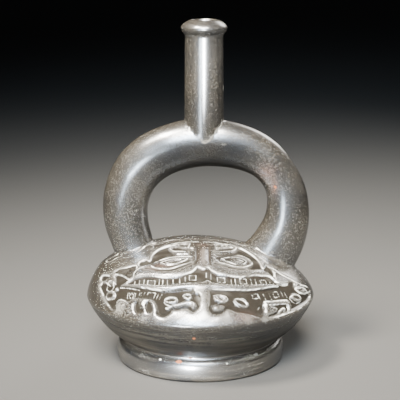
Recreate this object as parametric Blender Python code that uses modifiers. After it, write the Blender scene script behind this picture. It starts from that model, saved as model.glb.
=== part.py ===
"""Stirrup spout vessel: one hollow fired-clay body with a carved dome.

All sizes below are millimetres; mesh_object() turns them into metres. The carving is drawn on a
flat chart of the dome: a point's distance from the chart's middle is its distance along the dome
from the apex, and its direction is its bearing. -Y is the side the carved face looks to.
"""
import math

import bmesh
import bpy
import numpy as np
from mathutils import Vector
from mathutils.geometry import delaunay_2d_cdt

MM = 0.001
OBJECT_NAME = "stirrup_spout_vessel"
NODE_NAME = "vessel"

# Chamber: a dome on a tapering lower wall and a ring foot.
RIM_RADIUS = 77.4
RIM_HEIGHT = 44.7
RIM_ROUNDING = 1.0
RIM_TURN = 2.6
DOME_RISE = 35.4
DOME_ROUND_OUT = 2.318
DOME_ROUND_UP = 1.373
DOME_LEAN = 2.5
LEAN_FADE = 8
SWELL_LEFT = 4.9
SWELL_RIGHT = 1.5
SWELL_PLACE = 0.888
SWELL_WIDTH = 0.184
SWELL_FADE = 24
WALL = 5.0
RIM_STEPS = 64

WAIST_RADIUS = 52.0
WAIST_HEIGHT = 15.4
WALL_BULGE = 3.9
FOOT_RADIUS = 57.2
FOOT_EDGE_RADIUS = 55.2
FOOT_SHOULDER_HEIGHT = 14.2
FOOT_FACE = ((2.4, 1.0), (0.8, 0.87), (0.0, 0.6), (0.0, 0.25), (0.8, 0.056))
FOOT_INNER_RADIUS = 45.5
RECESS_SLOPE = 2.5
BASE_RECESS = 6.5
BASE_WALL = 6.0
LOWER_WALL_STEPS = 6
HOLLOW_STEPS = 40
HOLLOW_FLOOR_ROUNDING = 5.0

# Stirrup: stations of the tube's centreline, left foot to right foot, as (x, z, outer radius).
STIRRUP_SETBACK = 10.0
STIRRUP_FLATTENING = 0.825
STIRRUP_STATIONS = (
    (-39.5, 57.0, 13.2), (-46.5, 77.0, 14.1), (-50.5, 91.7, 14.9), (-50.7, 107.8, 15.5),
    (-44.8, 123.8, 16.2), (-33.3, 135.9, 16.5), (-16.4, 143.7, 16.5), (2.4, 146.6, 16.3),
    (22.6, 144.7, 15.4), (41.2, 137.1, 14.0),
    (52.8, 125.1, 12.9), (58.9, 110.4, 13.7), (59.0, 92.5, 15.4), (52.5, 75.1, 17.5), (40.5, 58.0, 19.8),
)
STIRRUP_WALL = 4.6
WELD_DISTANCE = 0.01
STATION_STEPS = 2
TUBE_SIDES = 20
BORE_SIDES = 12

# Spout: a slightly tapering pipe with a rolled lip.
SPOUT_X = 2.5
SPOUT_RADIUS = 13.4
SPOUT_TOP_RADIUS = 12.7
SPOUT_BORE = 7.6
SPOUT_FOOT = 146.0
SPOUT_STEPS = 32
BORE_STEPS = 24
BORE_FOOT = 148.0
BORE_OVERRUN = 5.0
MOUTH_ROUNDING = 0.7
MOUTH_DEPTH = 1.6
LIP_FACE = ((11.3, 1.6), (13.2, 2.9), (14.6, 4.0), (15.4, 5.2), (15.2, 6.4), (14.4, 7.8),
            (13.3, 9.2))
LIP_HEIGHT = 11.5
TOTAL_HEIGHT = 229.0

# Carving depths, and how far a carved edge slopes.
FIELD_DEPTH = 1.5
HOLLOW_DEPTH = 1.2
GROOVE_DEPTH = 0.9
LEAF_DEPTH = 0.7
EDGE = 0.8

# Points between the outlines: rings round the chart's middle.
RING_FIRST = 9.0
RING_SPACING = 8.0
RING_LAST = 4.0
RING_MULTIPLE = 8
CLEARANCE = 1.6

# Outlines on the chart: sunk fields round the figures.
FIELDS = {
    "brow_field_left": (
        (-19.5, -4.5), (-24, -7), (-28, -11), (-31, -16), (-32.8, -21), (-33.2, -25.5),
        (-34.8, -26.6), (-37, -23.8), (-40.3, -24.3), (-42, -27.5), (-41, -30.2),
        (-36.5, -31), (-31.5, -30.7), (-27, -28.6), (-23.5, -26), (-17, -24.3),
        (-10, -25.2), (-9.5, -23.2), (-15.5, -22.6), (-19, -18.8), (-21.3, -14),
        (-21.6, -10), (-20.2, -7),
    ),
    "brow_field_right": (
        (25.3, -2.5), (25.8, -7), (24.5, -12), (21.5, -16.4), (16, -20.3), (9.8, -22.8),
        (9.8, -24.4), (14.5, -24), (20, -21.6), (25, -18.8), (30.5, -19.2), (34, -22),
        (36.2, -25.8), (35, -30), (32, -33.6), (34.5, -34.2), (38, -31.5), (41.5, -29.6),
        (46, -30), (49.5, -32.3), (51, -31), (50.6, -26.5), (48.5, -22.5), (46, -20.5),
        (44.8, -23), (43.6, -27), (41.8, -26), (40.6, -21), (38.6, -16), (35, -10.5),
        (31, -6), (28, -3),
    ),
    "brow_hollow_left": (
        (-17.2, -9), (-19, -11.5), (-18.4, -15), (-15.5, -16.8), (-10, -16.6), (-6, -16.4),
        (-5.6, -13.9), (-8.5, -13.9), (-12, -12.8), (-14.8, -10.2),
    ),
    "brow_hollow_right": (
        (19.6, -5.6), (22, -4.5), (22.3, -8), (20.5, -12), (17, -14.2), (12.3, -15.4),
        (12.2, -11.5), (15.5, -9.6),
    ),
    "loop_left": ((-14, -5.2), (-13, -8), (-10.5, -9.8), (-8.6, -8.5), (-8.4, -4.5), (-11, -3.6)),
    "loop_right": ((10.8, -3.4), (14.5, -1.4), (16.6, -2.8), (14.8, -5.5), (11.5, -6.6)),
    "lip_band": (
        (-50, -44.8), (-46, -43.9), (-40, -44.3), (-35, -45.5), (-30, -47.2), (-25, -49.2),
        (-20, -50.2), (-15, -50.1), (-10, -48.5), (-5.5, -46.2), (-3, -43), (-1.6, -41),
        (1, -42.6), (3.6, -42.4), (5, -41), (6.5, -43.6), (9, -45.8), (12, -47.4),
        (16, -47.8), (20, -47.5), (25, -46.7), (30, -44.5), (35, -41.4), (38, -39.2),
        (42, -37.5), (45, -35.7), (48, -34.6), (52, -36.2), (54, -38), (52.4, -41),
        (46, -44.4), (38, -48.9), (30, -52.4), (22, -54.8), (12, -56), (7.5, -55.3),
        (4.7, -53.6), (1.5, -55.8), (-5, -56.5), (-12, -56.6), (-20, -56.9), (-27, -55.9),
        (-33, -54.1), (-39, -51.6), (-45, -49.3), (-50.5, -46.9),
    ),
    "side_field_left": (
        (-73.2, -29.3), (-70.5, -31), (-67.6, -35), (-65.5, -38.6), (-62.6, -40.9),
        (-60.3, -40), (-59.7, -36), (-60.6, -32.5), (-58, -32.5), (-55.5, -35), (-52, -39.3),
        (-49.8, -43), (-53, -44.5), (-57, -45.2), (-51, -48.3), (-46, -51.7), (-41, -54.6),
        (-36, -57.2), (-30, -60), (-25, -61.6), (-19, -62.6), (-12, -62.3), (-5.8, -62.3),
        (-5.2, -65), (-1.5, -66), (-0.3, -68), (-0.3, -72), (-1.2, -76), (-4.5, -78.9),
        (-7.6, -77.5), (-9.5, -76.4), (-15, -76.6), (-19.5, -76.6), (-21.5, -78.4),
        (-25.5, -79.7), (-29.3, -77.6), (-30.6, -74), (-30.8, -70), (-32.5, -67), (-35, -65),
        (-38.5, -63.4), (-43, -61.7), (-47, -60.3), (-51, -60.4), (-53.5, -58.5),
        (-56.5, -55.8), (-60, -54.8), (-61.3, -57.5), (-62.5, -59.8), (-64.5, -58.3),
        (-67.2, -53), (-69.5, -46.5), (-71.2, -40), (-72.8, -34),
    ),
    "side_field_right": (
        (7, -62.8), (10, -61.9), (15, -61.2), (20, -60.3), (25, -59.2), (30, -57.8),
        (35, -55.8), (40, -52.9), (45, -49.4), (50, -45.2), (54.5, -42), (55.5, -38.5),
        (57.5, -36.4), (60, -34.2), (62.6, -31), (64.5, -27), (66.5, -25.2), (67.6, -27.5),
        (67.4, -30.5), (69.5, -33), (74, -32.4), (78, -27.5), (81, -22.5), (83.4, -20.5),
        (83.4, -24), (81.6, -30.1), (79.4, -35.5), (75.5, -43), (71, -50.1), (68.1, -53.9),
        (67.3, -54.7), (67.4, -52.5), (66.4, -50.2), (64.8, -48.9), (62.3, -48.7),
        (59.3, -50.9), (54, -54.8), (49, -58.2), (45, -60.2), (44.8, -63.5), (45.4, -68),
        (44.6, -72), (41, -73.9), (36, -74.5), (30, -75.5), (25, -75.6), (17.8, -75.2),
        (16.2, -77.9), (13, -79.3), (9.5, -79.7), (7.4, -78), (6.8, -75), (6.8, -70),
        (6.8, -66),
    ),
    "wedge_left": ((-72.3, -23), (-71.6, -27), (-69.2, -29.6), (-66.8, -30.6), (-65.3, -29.3),
                   (-68, -26), (-70.5, -23.4)),
    "claw_left_inner": ((-38.6, -69), (-37.6, -66.6), (-35.8, -67), (-34.6, -69.6), (-34, -73),
                        (-35.8, -74.2), (-38, -73)),
    "claw_left_outer": ((-47.2, -68.6), (-47, -65.2), (-45.2, -63.8), (-43.8, -65.5),
                        (-43.3, -68.8), (-40.6, -71.2), (-43.5, -71.6), (-46.2, -70.8)),
    "claw_right": (
        (50.5, -61.8), (55, -58.8), (60, -55.2), (62.6, -53.8), (64.3, -55), (65.2, -57.5),
        (63.4, -59.4), (60.4, -62.6), (56.5, -66.1), (53, -68.9), (50, -71.2), (50.6, -69.2),
        (53.5, -66.8), (55.8, -63.9), (56, -61.4), (53, -61.6),
    ),
}

LEAVES = {
    "leaf_left": ((-60.5, -30), (-57, -27.9), (-51, -28.9), (-44.4, -29.2), (-43.8, -33),
                  (-45.6, -38), (-47.3, -41.6), (-49, -41.6), (-52, -37.6), (-56, -33.2)),
    "leaf_right": ((52.2, -26), (57, -25.6), (63.3, -26), (62, -29.2), (59.2, -32.4),
                   (56.3, -34), (53, -34.2)),
}

# Figures left standing in the fields.
FIGURES = {
    "jaw_left": ((-24.5, -74.3), (-21.5, -72.8), (-16, -72.4), (-12, -71.2), (-6, -70.9),
                 (-3, -72.2), (-2.2, -74.5), (-3.8, -76.8), (-5.8, -77), (-7, -75.3),
                 (-10, -74.7), (-16, -75), (-20.5, -75.2), (-23, -75.6)),
    "paw_right": ((8.2, -74.5), (8.6, -77.2), (10.5, -78.3), (13.5, -77.6), (15.8, -76),
                  (17, -73.6), (12, -72.8)),
    "hook_right": ((57.9, -66.7), (57.4, -64.7), (58, -62), (59.8, -58.4), (61.3, -56.9),
                   (62.9, -57.3), (63, -58.9), (61.2, -59.8), (59.9, -61.9), (58.9, -64.3)),
}

# Ovals as (middle, long half, short half, turn in degrees).
OVAL_FIGURES = {
    "disc_left": ((-64.0, -44.6), 5.8, 3.1, -51),
    "dot_left": ((-58.6, -43.2), 2.0, 1.8, 0),
    "head_eye_left": ((-20.2, -69.0), 5.0, 2.7, -8),
    "snout_left": ((-8.6, -67.5), 3.4, 2.5, 0),
    "disc_right": ((70.8, -39.6), 6.0, 3.7, 39),
    "head_eye_right": ((28.6, -68.1), 5.6, 3.3, -6),
    "snout_right": ((14.0, -68.0), 5.2, 3.3, 0),
}
OVAL_HOLLOWS = {
    "disc_left": ((-64.0, -44.6), 3.5, 1.4, -51),
    "upper_disc_left": ((-63.6, -35.6), 2.8, 1.2, -55),
    "head_eye_left": ((-20.2, -69.2), 3.3, 1.2, -8),
    "snout_left": ((-8.6, -67.5), 1.7, 1.0, 0),
    "disc_right": ((70.8, -39.6), 3.5, 1.5, 39),
    "upper_disc_right": ((74.2, -25.6), 3.0, 1.2, 55),
    "head_eye_right": ((28.6, -68.1), 3.9, 1.5, -6),
    "snout_right": ((13.4, -67.8), 2.4, 1.2, 0),
    "pupil_left": ((-17.8, -33.4), 5.1, 1.3, 13),
    "pupil_right": ((22.6, -28.4), 6.2, 1.7, 20),
}
OVAL_CORNERS = 10

# Grooves as (width, centreline).
GROOVES = {
    "nose_left": (1.5, ((-1.4, -13), (-1.3, -27), (-1.5, -38.5))),
    "nose_right": (1.3, ((5.1, -14), (5.2, -27), (5.0, -38.5))),
    "nose_wing_left": (1.3, ((-4.2, -18.5), (-5.9, -25))),
    "nose_wing_right": (1.5, ((7.5, -16), (7.5, -23.5))),
    "eye_left_under": (1.6, ((-30, -32.8), (-26, -36.4), (-20, -38.6), (-14.5, -37.8),
                             (-10, -35.8), (-7, -32.8))),
    "eye_left_over": (1.1, ((-26.5, -30.6), (-18, -28.7), (-10, -29.5))),
    "cheek_left": (1.5, ((-37.5, -35.5), (-33, -38.3), (-29, -41), (-24, -42.8), (-19, -43.3),
                         (-14, -41.7), (-10, -39.4), (-6, -37))),
    "eye_right_over": (1.5, ((10.8, -28.6), (15, -25.5), (20.5, -22.9), (26.2, -21.6),
                             (30.5, -23), (32.5, -25.8), (31.4, -29))),
    "eye_right_under": (1.5, ((30, -31.4), (26, -33.8), (18, -33.8), (13, -32))),
    "cheek_right": (1.5, ((9, -36), (15, -37), (20, -38.2), (25.5, -37.9), (30, -36))),
}

# The far side repeats the broad forms, turned half a turn, and leaves out the small ones.
FAR_FIELDS = ("lip_band", "side_field_left", "side_field_right")
FAR_OVALS = ("disc_left", "disc_right", "head_eye_left", "head_eye_right")
FAR_HOLLOWS = ("pupil_left", "pupil_right")
FAR_GROOVES = ("eye_left_under", "eye_right_over", "cheek_left", "cheek_right")

CLAY_COLOUR = (0.045, 0.038, 0.032, 1.0)
CLAY_ROUGHNESS = 0.38


def clear_scene():
    """Remove every object of the open scene."""
    for item in list(bpy.data.objects):
        bpy.data.objects.remove(item, do_unlink=True)


def clay_material():
    """Return the burnished dark clay."""
    material = bpy.data.materials.new("burnished_clay")
    material.use_nodes = True
    shader = material.node_tree.nodes["Principled BSDF"]
    shader.inputs["Base Color"].default_value = CLAY_COLOUR
    shader.inputs["Roughness"].default_value = CLAY_ROUGHNESS
    shader.inputs["Metallic"].default_value = 0.0
    return material


def new_collection(name):
    """Return a new collection linked to the scene."""
    collection = bpy.data.collections.new(name)
    bpy.context.scene.collection.children.link(collection)
    return collection


def mesh_object(name, verts, edges, faces, collection):
    """Return an object whose mesh has these vertices, given in millimetres."""
    mesh = bpy.data.meshes.new(name)
    mesh.from_pydata([tuple(MM * float(value) for value in vert) for vert in verts], edges, faces)
    item = bpy.data.objects.new(name, mesh)
    collection.objects.link(item)
    return item


def evaluated_mesh(item):
    """Return a copy of the object's mesh with its modifiers applied."""
    depsgraph = bpy.context.evaluated_depsgraph_get()
    return bpy.data.meshes.new_from_object(item.evaluated_get(depsgraph))


def lathe(name, profile, steps, collection, centre=(0.0, 0.0)):
    """Return a turned piece: its (radius, height) profile runs down the outer side."""
    verts = [(radius, 0.0, height) for radius, height in profile]
    edges = [(i, i + 1) for i in range(len(verts) - 1)]
    item = mesh_object(name, verts, edges, [], collection)
    item.location = (MM * centre[0], MM * centre[1], 0.0)
    screw = item.modifiers.new("turn", "SCREW")
    screw.steps = steps
    screw.render_steps = steps
    screw.use_merge_vertices = True
    screw.merge_threshold = 0.0001
    return item


def bezier(start, control, end, steps):
    """Return points of a curve from start to end, pulled towards control."""
    points = []
    for t in np.linspace(0.0, 1.0, steps + 1):
        weights = ((1 - t) ** 2, 2 * t * (1 - t), t ** 2)
        points.append(tuple(sum(w * p[i] for w, p in zip(weights, (start, control, end)))
                            for i in (0, 1)))
    return points


def bulged(start, end):
    """Return the point that pulls a curve between the two outwards and down by WALL_BULGE."""
    return (start[0] + end[0]) / 2 + WALL_BULGE, (start[1] + end[1]) / 2 - WALL_BULGE


def smooth_path(stations, steps):
    """Return a Catmull-Rom curve through the stations, with steps points for each span."""
    points = np.array(stations, float)
    ends = np.vstack([2 * points[0] - points[1], points, 2 * points[-1] - points[-2]])
    path = []
    for a, b, c, d in zip(ends, ends[1:], ends[2:], ends[3:]):
        for t in np.arange(steps) / steps:
            path.append(0.5 * (2 * b + (c - a) * t + (2 * a - 5 * b + 4 * c - d) * t ** 2
                               + (3 * b - a - 3 * c + d) * t ** 3))
    path.append(points[-1])
    return np.array(path)


class Dome:
    """The chamber's upper surface, and the flat chart its carving is drawn on."""

    def __init__(self, radius, rise):
        self.radius = radius
        self.rise = rise
        self.table_radius = radius * np.sin(np.linspace(0.0, math.pi / 2, 2000))
        height = self.height(self.table_radius)
        spans = np.hypot(np.diff(self.table_radius), np.diff(height))
        self.table_length = np.concatenate([[0.0], np.cumsum(spans)])
        self.table_slope = np.gradient(height, self.table_length)
        self.length = self.table_length[-1]

    def height(self, radius):
        """Return the height over a plan radius, without the lean."""
        share = np.clip(np.asarray(radius) / self.radius, 0.0, 1.0)
        return RIM_HEIGHT + self.rise * (1 - share ** DOME_ROUND_OUT) ** (1 / DOME_ROUND_UP)

    def unevenness(self, x, radius):
        """Return how far the hand-made dome rises above its turned form: a lean and a swell."""
        share = np.clip(radius / self.radius, 0.0, 1.0)
        lean = -DOME_LEAN * x / self.radius * (1 - share ** LEAN_FADE)
        sideways = np.abs(x) / np.maximum(radius, 0.01)
        swell = np.where(x < 0, SWELL_LEFT, SWELL_RIGHT) * sideways ** 3
        swell *= np.exp(-((share - SWELL_PLACE) / SWELL_WIDTH) ** 2) * (1 - share ** SWELL_FADE)
        return lean + swell

    def place(self, chart, lift):
        """Return points on the dome for chart points, lifted along its slope's normal."""
        length = np.hypot(chart[:, 0], chart[:, 1])
        bearing = np.arctan2(chart[:, 1], chart[:, 0])
        radius = np.interp(length, self.table_length, self.table_radius)
        fall = np.clip(-np.interp(length, self.table_length, self.table_slope), 0.0, 1.0)
        spread = radius + lift * fall
        x = spread * np.cos(bearing)
        z = self.height(radius) + self.unevenness(x, radius) + lift * np.sqrt(1 - fall ** 2)
        return np.stack([x, spread * np.sin(bearing), z], axis=1)


def oval(middle, long_half, short_half, turn):
    """Return the corners of an oval."""
    angles = np.arange(OVAL_CORNERS) * 2 * math.pi / OVAL_CORNERS
    x, y = long_half * np.cos(angles), short_half * np.sin(angles)
    c, s = math.cos(math.radians(turn)), math.sin(math.radians(turn))
    return np.stack([middle[0] + c * x - s * y, middle[1] + s * x + c * y], axis=1)


def ribbon(width, centreline):
    """Return the outline of a groove that narrows to both ends."""
    line = np.array(centreline, float)
    along = np.gradient(line, axis=0)
    along /= np.linalg.norm(along, axis=1)[:, None]
    side = np.stack([-along[:, 1], along[:, 0]], axis=1) * width / 2
    tip = along * width / 2
    left, right = line + side, line - side
    return np.vstack([line[:1] - tip[:1], right, line[-1:] + tip[-1:], left[::-1]])


def offset(outline, distance):
    """Return the outline moved outwards by a distance, with its corners mitred."""
    forward = np.roll(outline, -1, axis=0) - outline
    turned = np.sum(outline[:, 0] * np.roll(outline[:, 1], -1)
                    - outline[:, 1] * np.roll(outline[:, 0], -1))
    normal = np.stack([forward[:, 1], -forward[:, 0]], axis=1) * np.sign(turned)
    normal /= np.linalg.norm(normal, axis=1)[:, None]
    mitre = normal + np.roll(normal, 1, axis=0)
    mitre /= np.maximum(np.sum(mitre * mitre, axis=1) / 2, 0.7)[:, None]
    return outline + mitre * distance


def signed_distance(points, outline):
    """Return each point's distance to the outline, negative inside it."""
    start, end = outline, np.roll(outline, -1, axis=0)
    span = end - start
    share = np.clip(np.sum((points[:, None] - start) * span, axis=2)
                    / np.sum(span * span, axis=1), 0.0, 1.0)
    gap = points[:, None] - (start + share[..., None] * span)
    distance = np.sqrt(np.min(np.sum(gap * gap, axis=2), axis=1))
    y = points[:, None, 1]
    crosses = (start[:, 1] > y) != (end[:, 1] > y)
    rise = np.where(span[:, 1] == 0.0, 1.0, span[:, 1])
    reach = start[:, 0] + (y - start[:, 1]) / rise * span[:, 0]
    inside = np.sum(crosses & (points[:, None, 0] < reach), axis=1) % 2 == 1
    return np.where(inside, -distance, distance)


def depth_inside(points, outline):
    """Return 0 outside the outline and 1 inside it, with a slope as wide as EDGE between."""
    return np.clip(0.5 - signed_distance(points, outline) / EDGE, 0.0, 1.0)


class Carving:
    """One side's outlines on the chart, and the depth they cut to."""

    def __init__(self, half_turn):
        turn = -1.0 if half_turn else 1.0
        fields = [FIELDS[name] for name in (FAR_FIELDS if half_turn else FIELDS)]
        ovals = [OVAL_FIGURES[name] for name in (FAR_OVALS if half_turn else OVAL_FIGURES)]
        hollows = [OVAL_HOLLOWS[name] for name in (FAR_HOLLOWS if half_turn else OVAL_HOLLOWS)]
        grooves = [GROOVES[name] for name in (FAR_GROOVES if half_turn else GROOVES)]
        figures = [] if half_turn else list(FIGURES.values())
        leaves = [] if half_turn else list(LEAVES.values())
        self.fields = [turn * np.array(outline, float) for outline in fields]
        self.leaves = [turn * np.array(outline, float) for outline in leaves]
        self.figures = [turn * np.array(outline, float) for outline in figures]
        self.figures += [turn * oval(*sizes) for sizes in ovals]
        self.hollows = [turn * oval(*sizes) for sizes in hollows]
        self.grooves = [turn * ribbon(*sizes) for sizes in grooves]

    def outlines(self):
        """Return every outline."""
        return self.fields + self.leaves + self.figures + self.hollows + self.grooves

    def depth(self, points):
        """Return how deep the carving is at chart points."""
        field = np.zeros(len(points))
        for outline in self.fields:
            field = np.maximum(field, depth_inside(points, outline))
        for outline in self.figures:
            field = np.minimum(field, 1 - depth_inside(points, outline))
        depth = FIELD_DEPTH * field
        for outlines, full in ((self.leaves, LEAF_DEPTH), (self.hollows, HOLLOW_DEPTH),
                               (self.grooves, GROOVE_DEPTH)):
            for outline in outlines:
                depth = np.maximum(depth, full * depth_inside(points, outline))
        return depth


def chart_points(dome, carvings):
    """Return the chart's points and edges: both rims of every outline, and rings between."""
    points, edges = [], []
    outlines = [outline for carving in carvings for outline in carving.outlines()]
    for outline in outlines:
        for distance in (-EDGE / 2, EDGE / 2):
            first = len(points)
            loop = offset(outline, distance)
            points.extend(map(tuple, loop))
            edges.extend((first + i, first + (i + 1) % len(loop)) for i in range(len(loop)))
    last = dome.length - RING_LAST
    rings = np.append(np.arange(RING_FIRST, last - RING_SPACING / 4, RING_SPACING), last)
    fill = [(0.0, 0.0)]
    for ring in rings:
        count = 2 * math.pi * ring / RING_SPACING
        count = min(RIM_STEPS, RING_MULTIPLE * round(count / RING_MULTIPLE))
        angles = np.arange(count) * 2 * math.pi / count
        fill.extend(zip(ring * np.cos(angles), ring * np.sin(angles)))
    fill = np.array(fill)
    near = np.min([np.abs(signed_distance(fill, outline)) for outline in outlines], axis=0)
    points.extend(map(tuple, fill[near > CLEARANCE]))
    angles = np.arange(RIM_STEPS) * 2 * math.pi / RIM_STEPS
    points.extend(zip(dome.length * np.cos(angles), dome.length * np.sin(angles)))
    return points, edges


def carved_dome(dome, collection):
    """Return the dome's outer skin with its carving, open at the rim."""
    carvings = [Carving(half_turn=False), Carving(half_turn=True)]
    points, edges = chart_points(dome, carvings)
    chart, _, faces, *_ = delaunay_2d_cdt([Vector(point) for point in points], edges, [], 0, 1e-5)
    chart = np.array([tuple(point) for point in chart])
    depth = np.max([carving.depth(chart) for carving in carvings], axis=0)
    return mesh_object("dome", dome.place(chart, -depth), [], faces, collection)


def lower_profile():
    """Return the outer profile from the rim down to the middle of the underside."""
    waist = (WAIST_RADIUS, WAIST_HEIGHT)
    turn_in = (RIM_RADIUS - RIM_ROUNDING, RIM_HEIGHT - RIM_TURN * RIM_ROUNDING)
    profile = [(RIM_RADIUS, RIM_HEIGHT)]
    profile += bezier(turn_in, bulged(turn_in, waist), waist, LOWER_WALL_STEPS)
    profile += [(FOOT_RADIUS - inset, share * FOOT_SHOULDER_HEIGHT) for inset, share in FOOT_FACE]
    profile += [(FOOT_EDGE_RADIUS, 0.0), (FOOT_INNER_RADIUS, 0.0),
                (FOOT_INNER_RADIUS - RECESS_SLOPE, BASE_RECESS), (0.0, BASE_RECESS)]
    return profile


def chamber_body(collection, cutters):
    """Return the solid chamber: the carved dome welded to the turned lower wall."""
    skin = carved_dome(Dome(RIM_RADIUS, DOME_RISE), cutters)
    wall = lathe("lower_wall", lower_profile(), RIM_STEPS, cutters)
    shell = bmesh.new()
    shell.from_mesh(skin.data)
    shell.from_mesh(evaluated_mesh(wall))
    bmesh.ops.remove_doubles(shell, verts=shell.verts, dist=MM * WELD_DISTANCE)
    bmesh.ops.recalc_face_normals(shell, faces=shell.faces)
    mesh = bpy.data.meshes.new(NODE_NAME)
    shell.to_mesh(mesh)
    shell.free()
    for item in (skin, wall):
        bpy.data.objects.remove(item, do_unlink=True)
    body = bpy.data.objects.new(NODE_NAME, mesh)
    collection.objects.link(body)
    return body


def tube(name, stations, sides, collection):
    """Return a closed tube through (x, z, radius) stations, flattened front to back."""
    curve = bpy.data.curves.new(name, "CURVE")
    curve.dimensions = "3D"
    curve.bevel_depth = MM
    curve.bevel_resolution = sides // 2 - 2
    curve.use_fill_caps = True
    spline = curve.splines.new("POLY")
    path = smooth_path(stations, STATION_STEPS)
    spline.points.add(len(path) - 1)
    for point, (x, z, radius) in zip(spline.points, path):
        point.co = (MM * x, MM * STIRRUP_SETBACK, MM * z, 1.0)
        point.radius = radius
    item = bpy.data.objects.new(name, curve)
    collection.objects.link(item)
    mesh = evaluated_mesh(item)
    bpy.data.objects.remove(item, do_unlink=True)
    shell = bmesh.new()
    shell.from_mesh(mesh)
    bmesh.ops.remove_doubles(shell, verts=shell.verts, dist=MM * WELD_DISTANCE)
    bmesh.ops.recalc_face_normals(shell, faces=shell.faces)
    middle = MM * STIRRUP_SETBACK
    for vert in shell.verts:
        vert.co.y = middle + (vert.co.y - middle) * STIRRUP_FLATTENING
    shell.to_mesh(mesh)
    shell.free()
    solid = bpy.data.objects.new(name, mesh)
    collection.objects.link(solid)
    return solid


def stirrup(cutters):
    """Return the stirrup's solid tube."""
    return tube("stirrup_blank", STIRRUP_STATIONS, TUBE_SIDES, cutters)


def stirrup_bore(cutters):
    """Return the channel through the stirrup, long enough to reach into the chamber."""
    stations = [(x, z, radius - STIRRUP_WALL) for x, z, radius in STIRRUP_STATIONS]
    return tube("stirrup_bore", stations, BORE_SIDES, cutters)


def spout(cutters):
    """Return the solid spout, from the arch's middle to the top of its lip."""
    profile = [(0.0, TOTAL_HEIGHT), (SPOUT_BORE + 2 * MOUTH_ROUNDING, TOTAL_HEIGHT)]
    profile += [(radius, TOTAL_HEIGHT - drop) for radius, drop in LIP_FACE]
    profile += [(SPOUT_TOP_RADIUS, TOTAL_HEIGHT - LIP_HEIGHT), (SPOUT_RADIUS, SPOUT_FOOT),
                (0.0, SPOUT_FOOT)]
    return lathe("spout_blank", profile, SPOUT_STEPS, cutters, (SPOUT_X, STIRRUP_SETBACK))


def spout_bore(cutters):
    """Return the spout's channel with its rounded mouth."""
    above = TOTAL_HEIGHT + BORE_OVERRUN
    rounded = SPOUT_BORE + MOUTH_ROUNDING
    profile = [(0.0, above), (rounded, above), (rounded, TOTAL_HEIGHT - MOUTH_ROUNDING / 2),
               (SPOUT_BORE, TOTAL_HEIGHT - MOUTH_DEPTH), (SPOUT_BORE, BORE_FOOT),
               (0.0, BORE_FOOT)]
    return lathe("spout_bore", profile, BORE_STEPS, cutters, (SPOUT_X, STIRRUP_SETBACK))


def chamber_hollow(cutters):
    """Return the chamber's empty inside."""
    inner = Dome(RIM_RADIUS - WALL, DOME_RISE - WALL)
    angles = np.linspace(0.0, math.pi / 2, HOLLOW_STEPS // 5 + 1)
    profile = [(radius, float(inner.height(radius))) for radius in inner.radius * np.sin(angles)]
    floor = BASE_RECESS + BASE_WALL
    waist = (WAIST_RADIUS - WALL, floor + HOLLOW_FLOOR_ROUNDING)
    rim = profile[-1]
    profile += bezier(rim, bulged(rim, waist), waist, LOWER_WALL_STEPS - 2)[1:]
    profile += [(waist[0] - HOLLOW_FLOOR_ROUNDING, floor + HOLLOW_FLOOR_ROUNDING / 5), (0.0, floor)]
    return lathe("chamber_hollow", profile, HOLLOW_STEPS, cutters)


def hide_tools(cutters):
    """Keep the blanks and cutters out of renders, drawn as wires."""
    cutters.hide_render = True
    for item in cutters.objects:
        item.hide_render = True
        item.display_type = "WIRE"


def add_boolean(body, tool, operation):
    """Join a blank to the body, or cut a hollow from it."""
    modifier = body.modifiers.new(tool.name, "BOOLEAN")
    modifier.object = tool
    modifier.operation = operation
    modifier.solver = "EXACT"


def main():
    """Build the vessel."""
    clear_scene()
    collection = new_collection(OBJECT_NAME)
    cutters = new_collection("cutters")
    body = chamber_body(collection, cutters)
    for blank in (stirrup(cutters), spout(cutters)):
        add_boolean(body, blank, "UNION")
    for hollow in (chamber_hollow(cutters), stirrup_bore(cutters), spout_bore(cutters)):
        add_boolean(body, hollow, "DIFFERENCE")
    body.data.materials.append(clay_material())
    hide_tools(cutters)


main()
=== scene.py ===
"""Stirrup spout vessel: its carved and burnished surface, worked out on grids.

Sizes are millimetres until mesh_piece() turns them into metres. The carving is drawn on a flat
chart of the dome: a point's distance from the chart's middle is its distance along the dome from
the apex, and its direction is its bearing. -Y is the side the carved face looks to.
"""
import logging
import math
from dataclasses import dataclass, field
from enum import Enum
from typing import Any, Optional, Sequence, Union

import bpy
import numpy as np
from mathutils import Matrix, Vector


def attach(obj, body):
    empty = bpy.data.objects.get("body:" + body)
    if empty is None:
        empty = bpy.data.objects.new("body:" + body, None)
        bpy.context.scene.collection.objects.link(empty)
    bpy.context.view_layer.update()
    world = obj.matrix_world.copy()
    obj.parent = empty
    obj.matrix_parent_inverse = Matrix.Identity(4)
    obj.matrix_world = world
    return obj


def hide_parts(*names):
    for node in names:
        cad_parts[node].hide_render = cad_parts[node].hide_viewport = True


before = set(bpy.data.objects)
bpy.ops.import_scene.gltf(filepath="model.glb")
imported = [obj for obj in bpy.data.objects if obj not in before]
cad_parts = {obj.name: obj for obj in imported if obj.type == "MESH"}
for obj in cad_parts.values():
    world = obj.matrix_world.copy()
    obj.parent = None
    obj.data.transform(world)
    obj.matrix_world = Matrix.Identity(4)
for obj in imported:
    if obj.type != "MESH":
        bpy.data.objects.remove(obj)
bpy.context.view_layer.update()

LOG = logging.getLogger("stirrup_spout_vessel")
MM = 0.001
NODE = "vessel"
BODY = "root"
MIXED_COLOUR = 2  # The Mix node's output that holds a colour.

Array = np.ndarray
Line = Sequence[tuple[float, float]]
Triple = tuple[float, float, float]
Face = tuple[int, ...]

# Points worked out for each span of an outline and of an open line, corners of an oval, and the
# least square of a segment's length, so that no division is by zero.
OUTLINE_STEPS = 3
LINE_STEPS = 4
OVAL_CORNERS = 24
TINY = 1e-9

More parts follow.
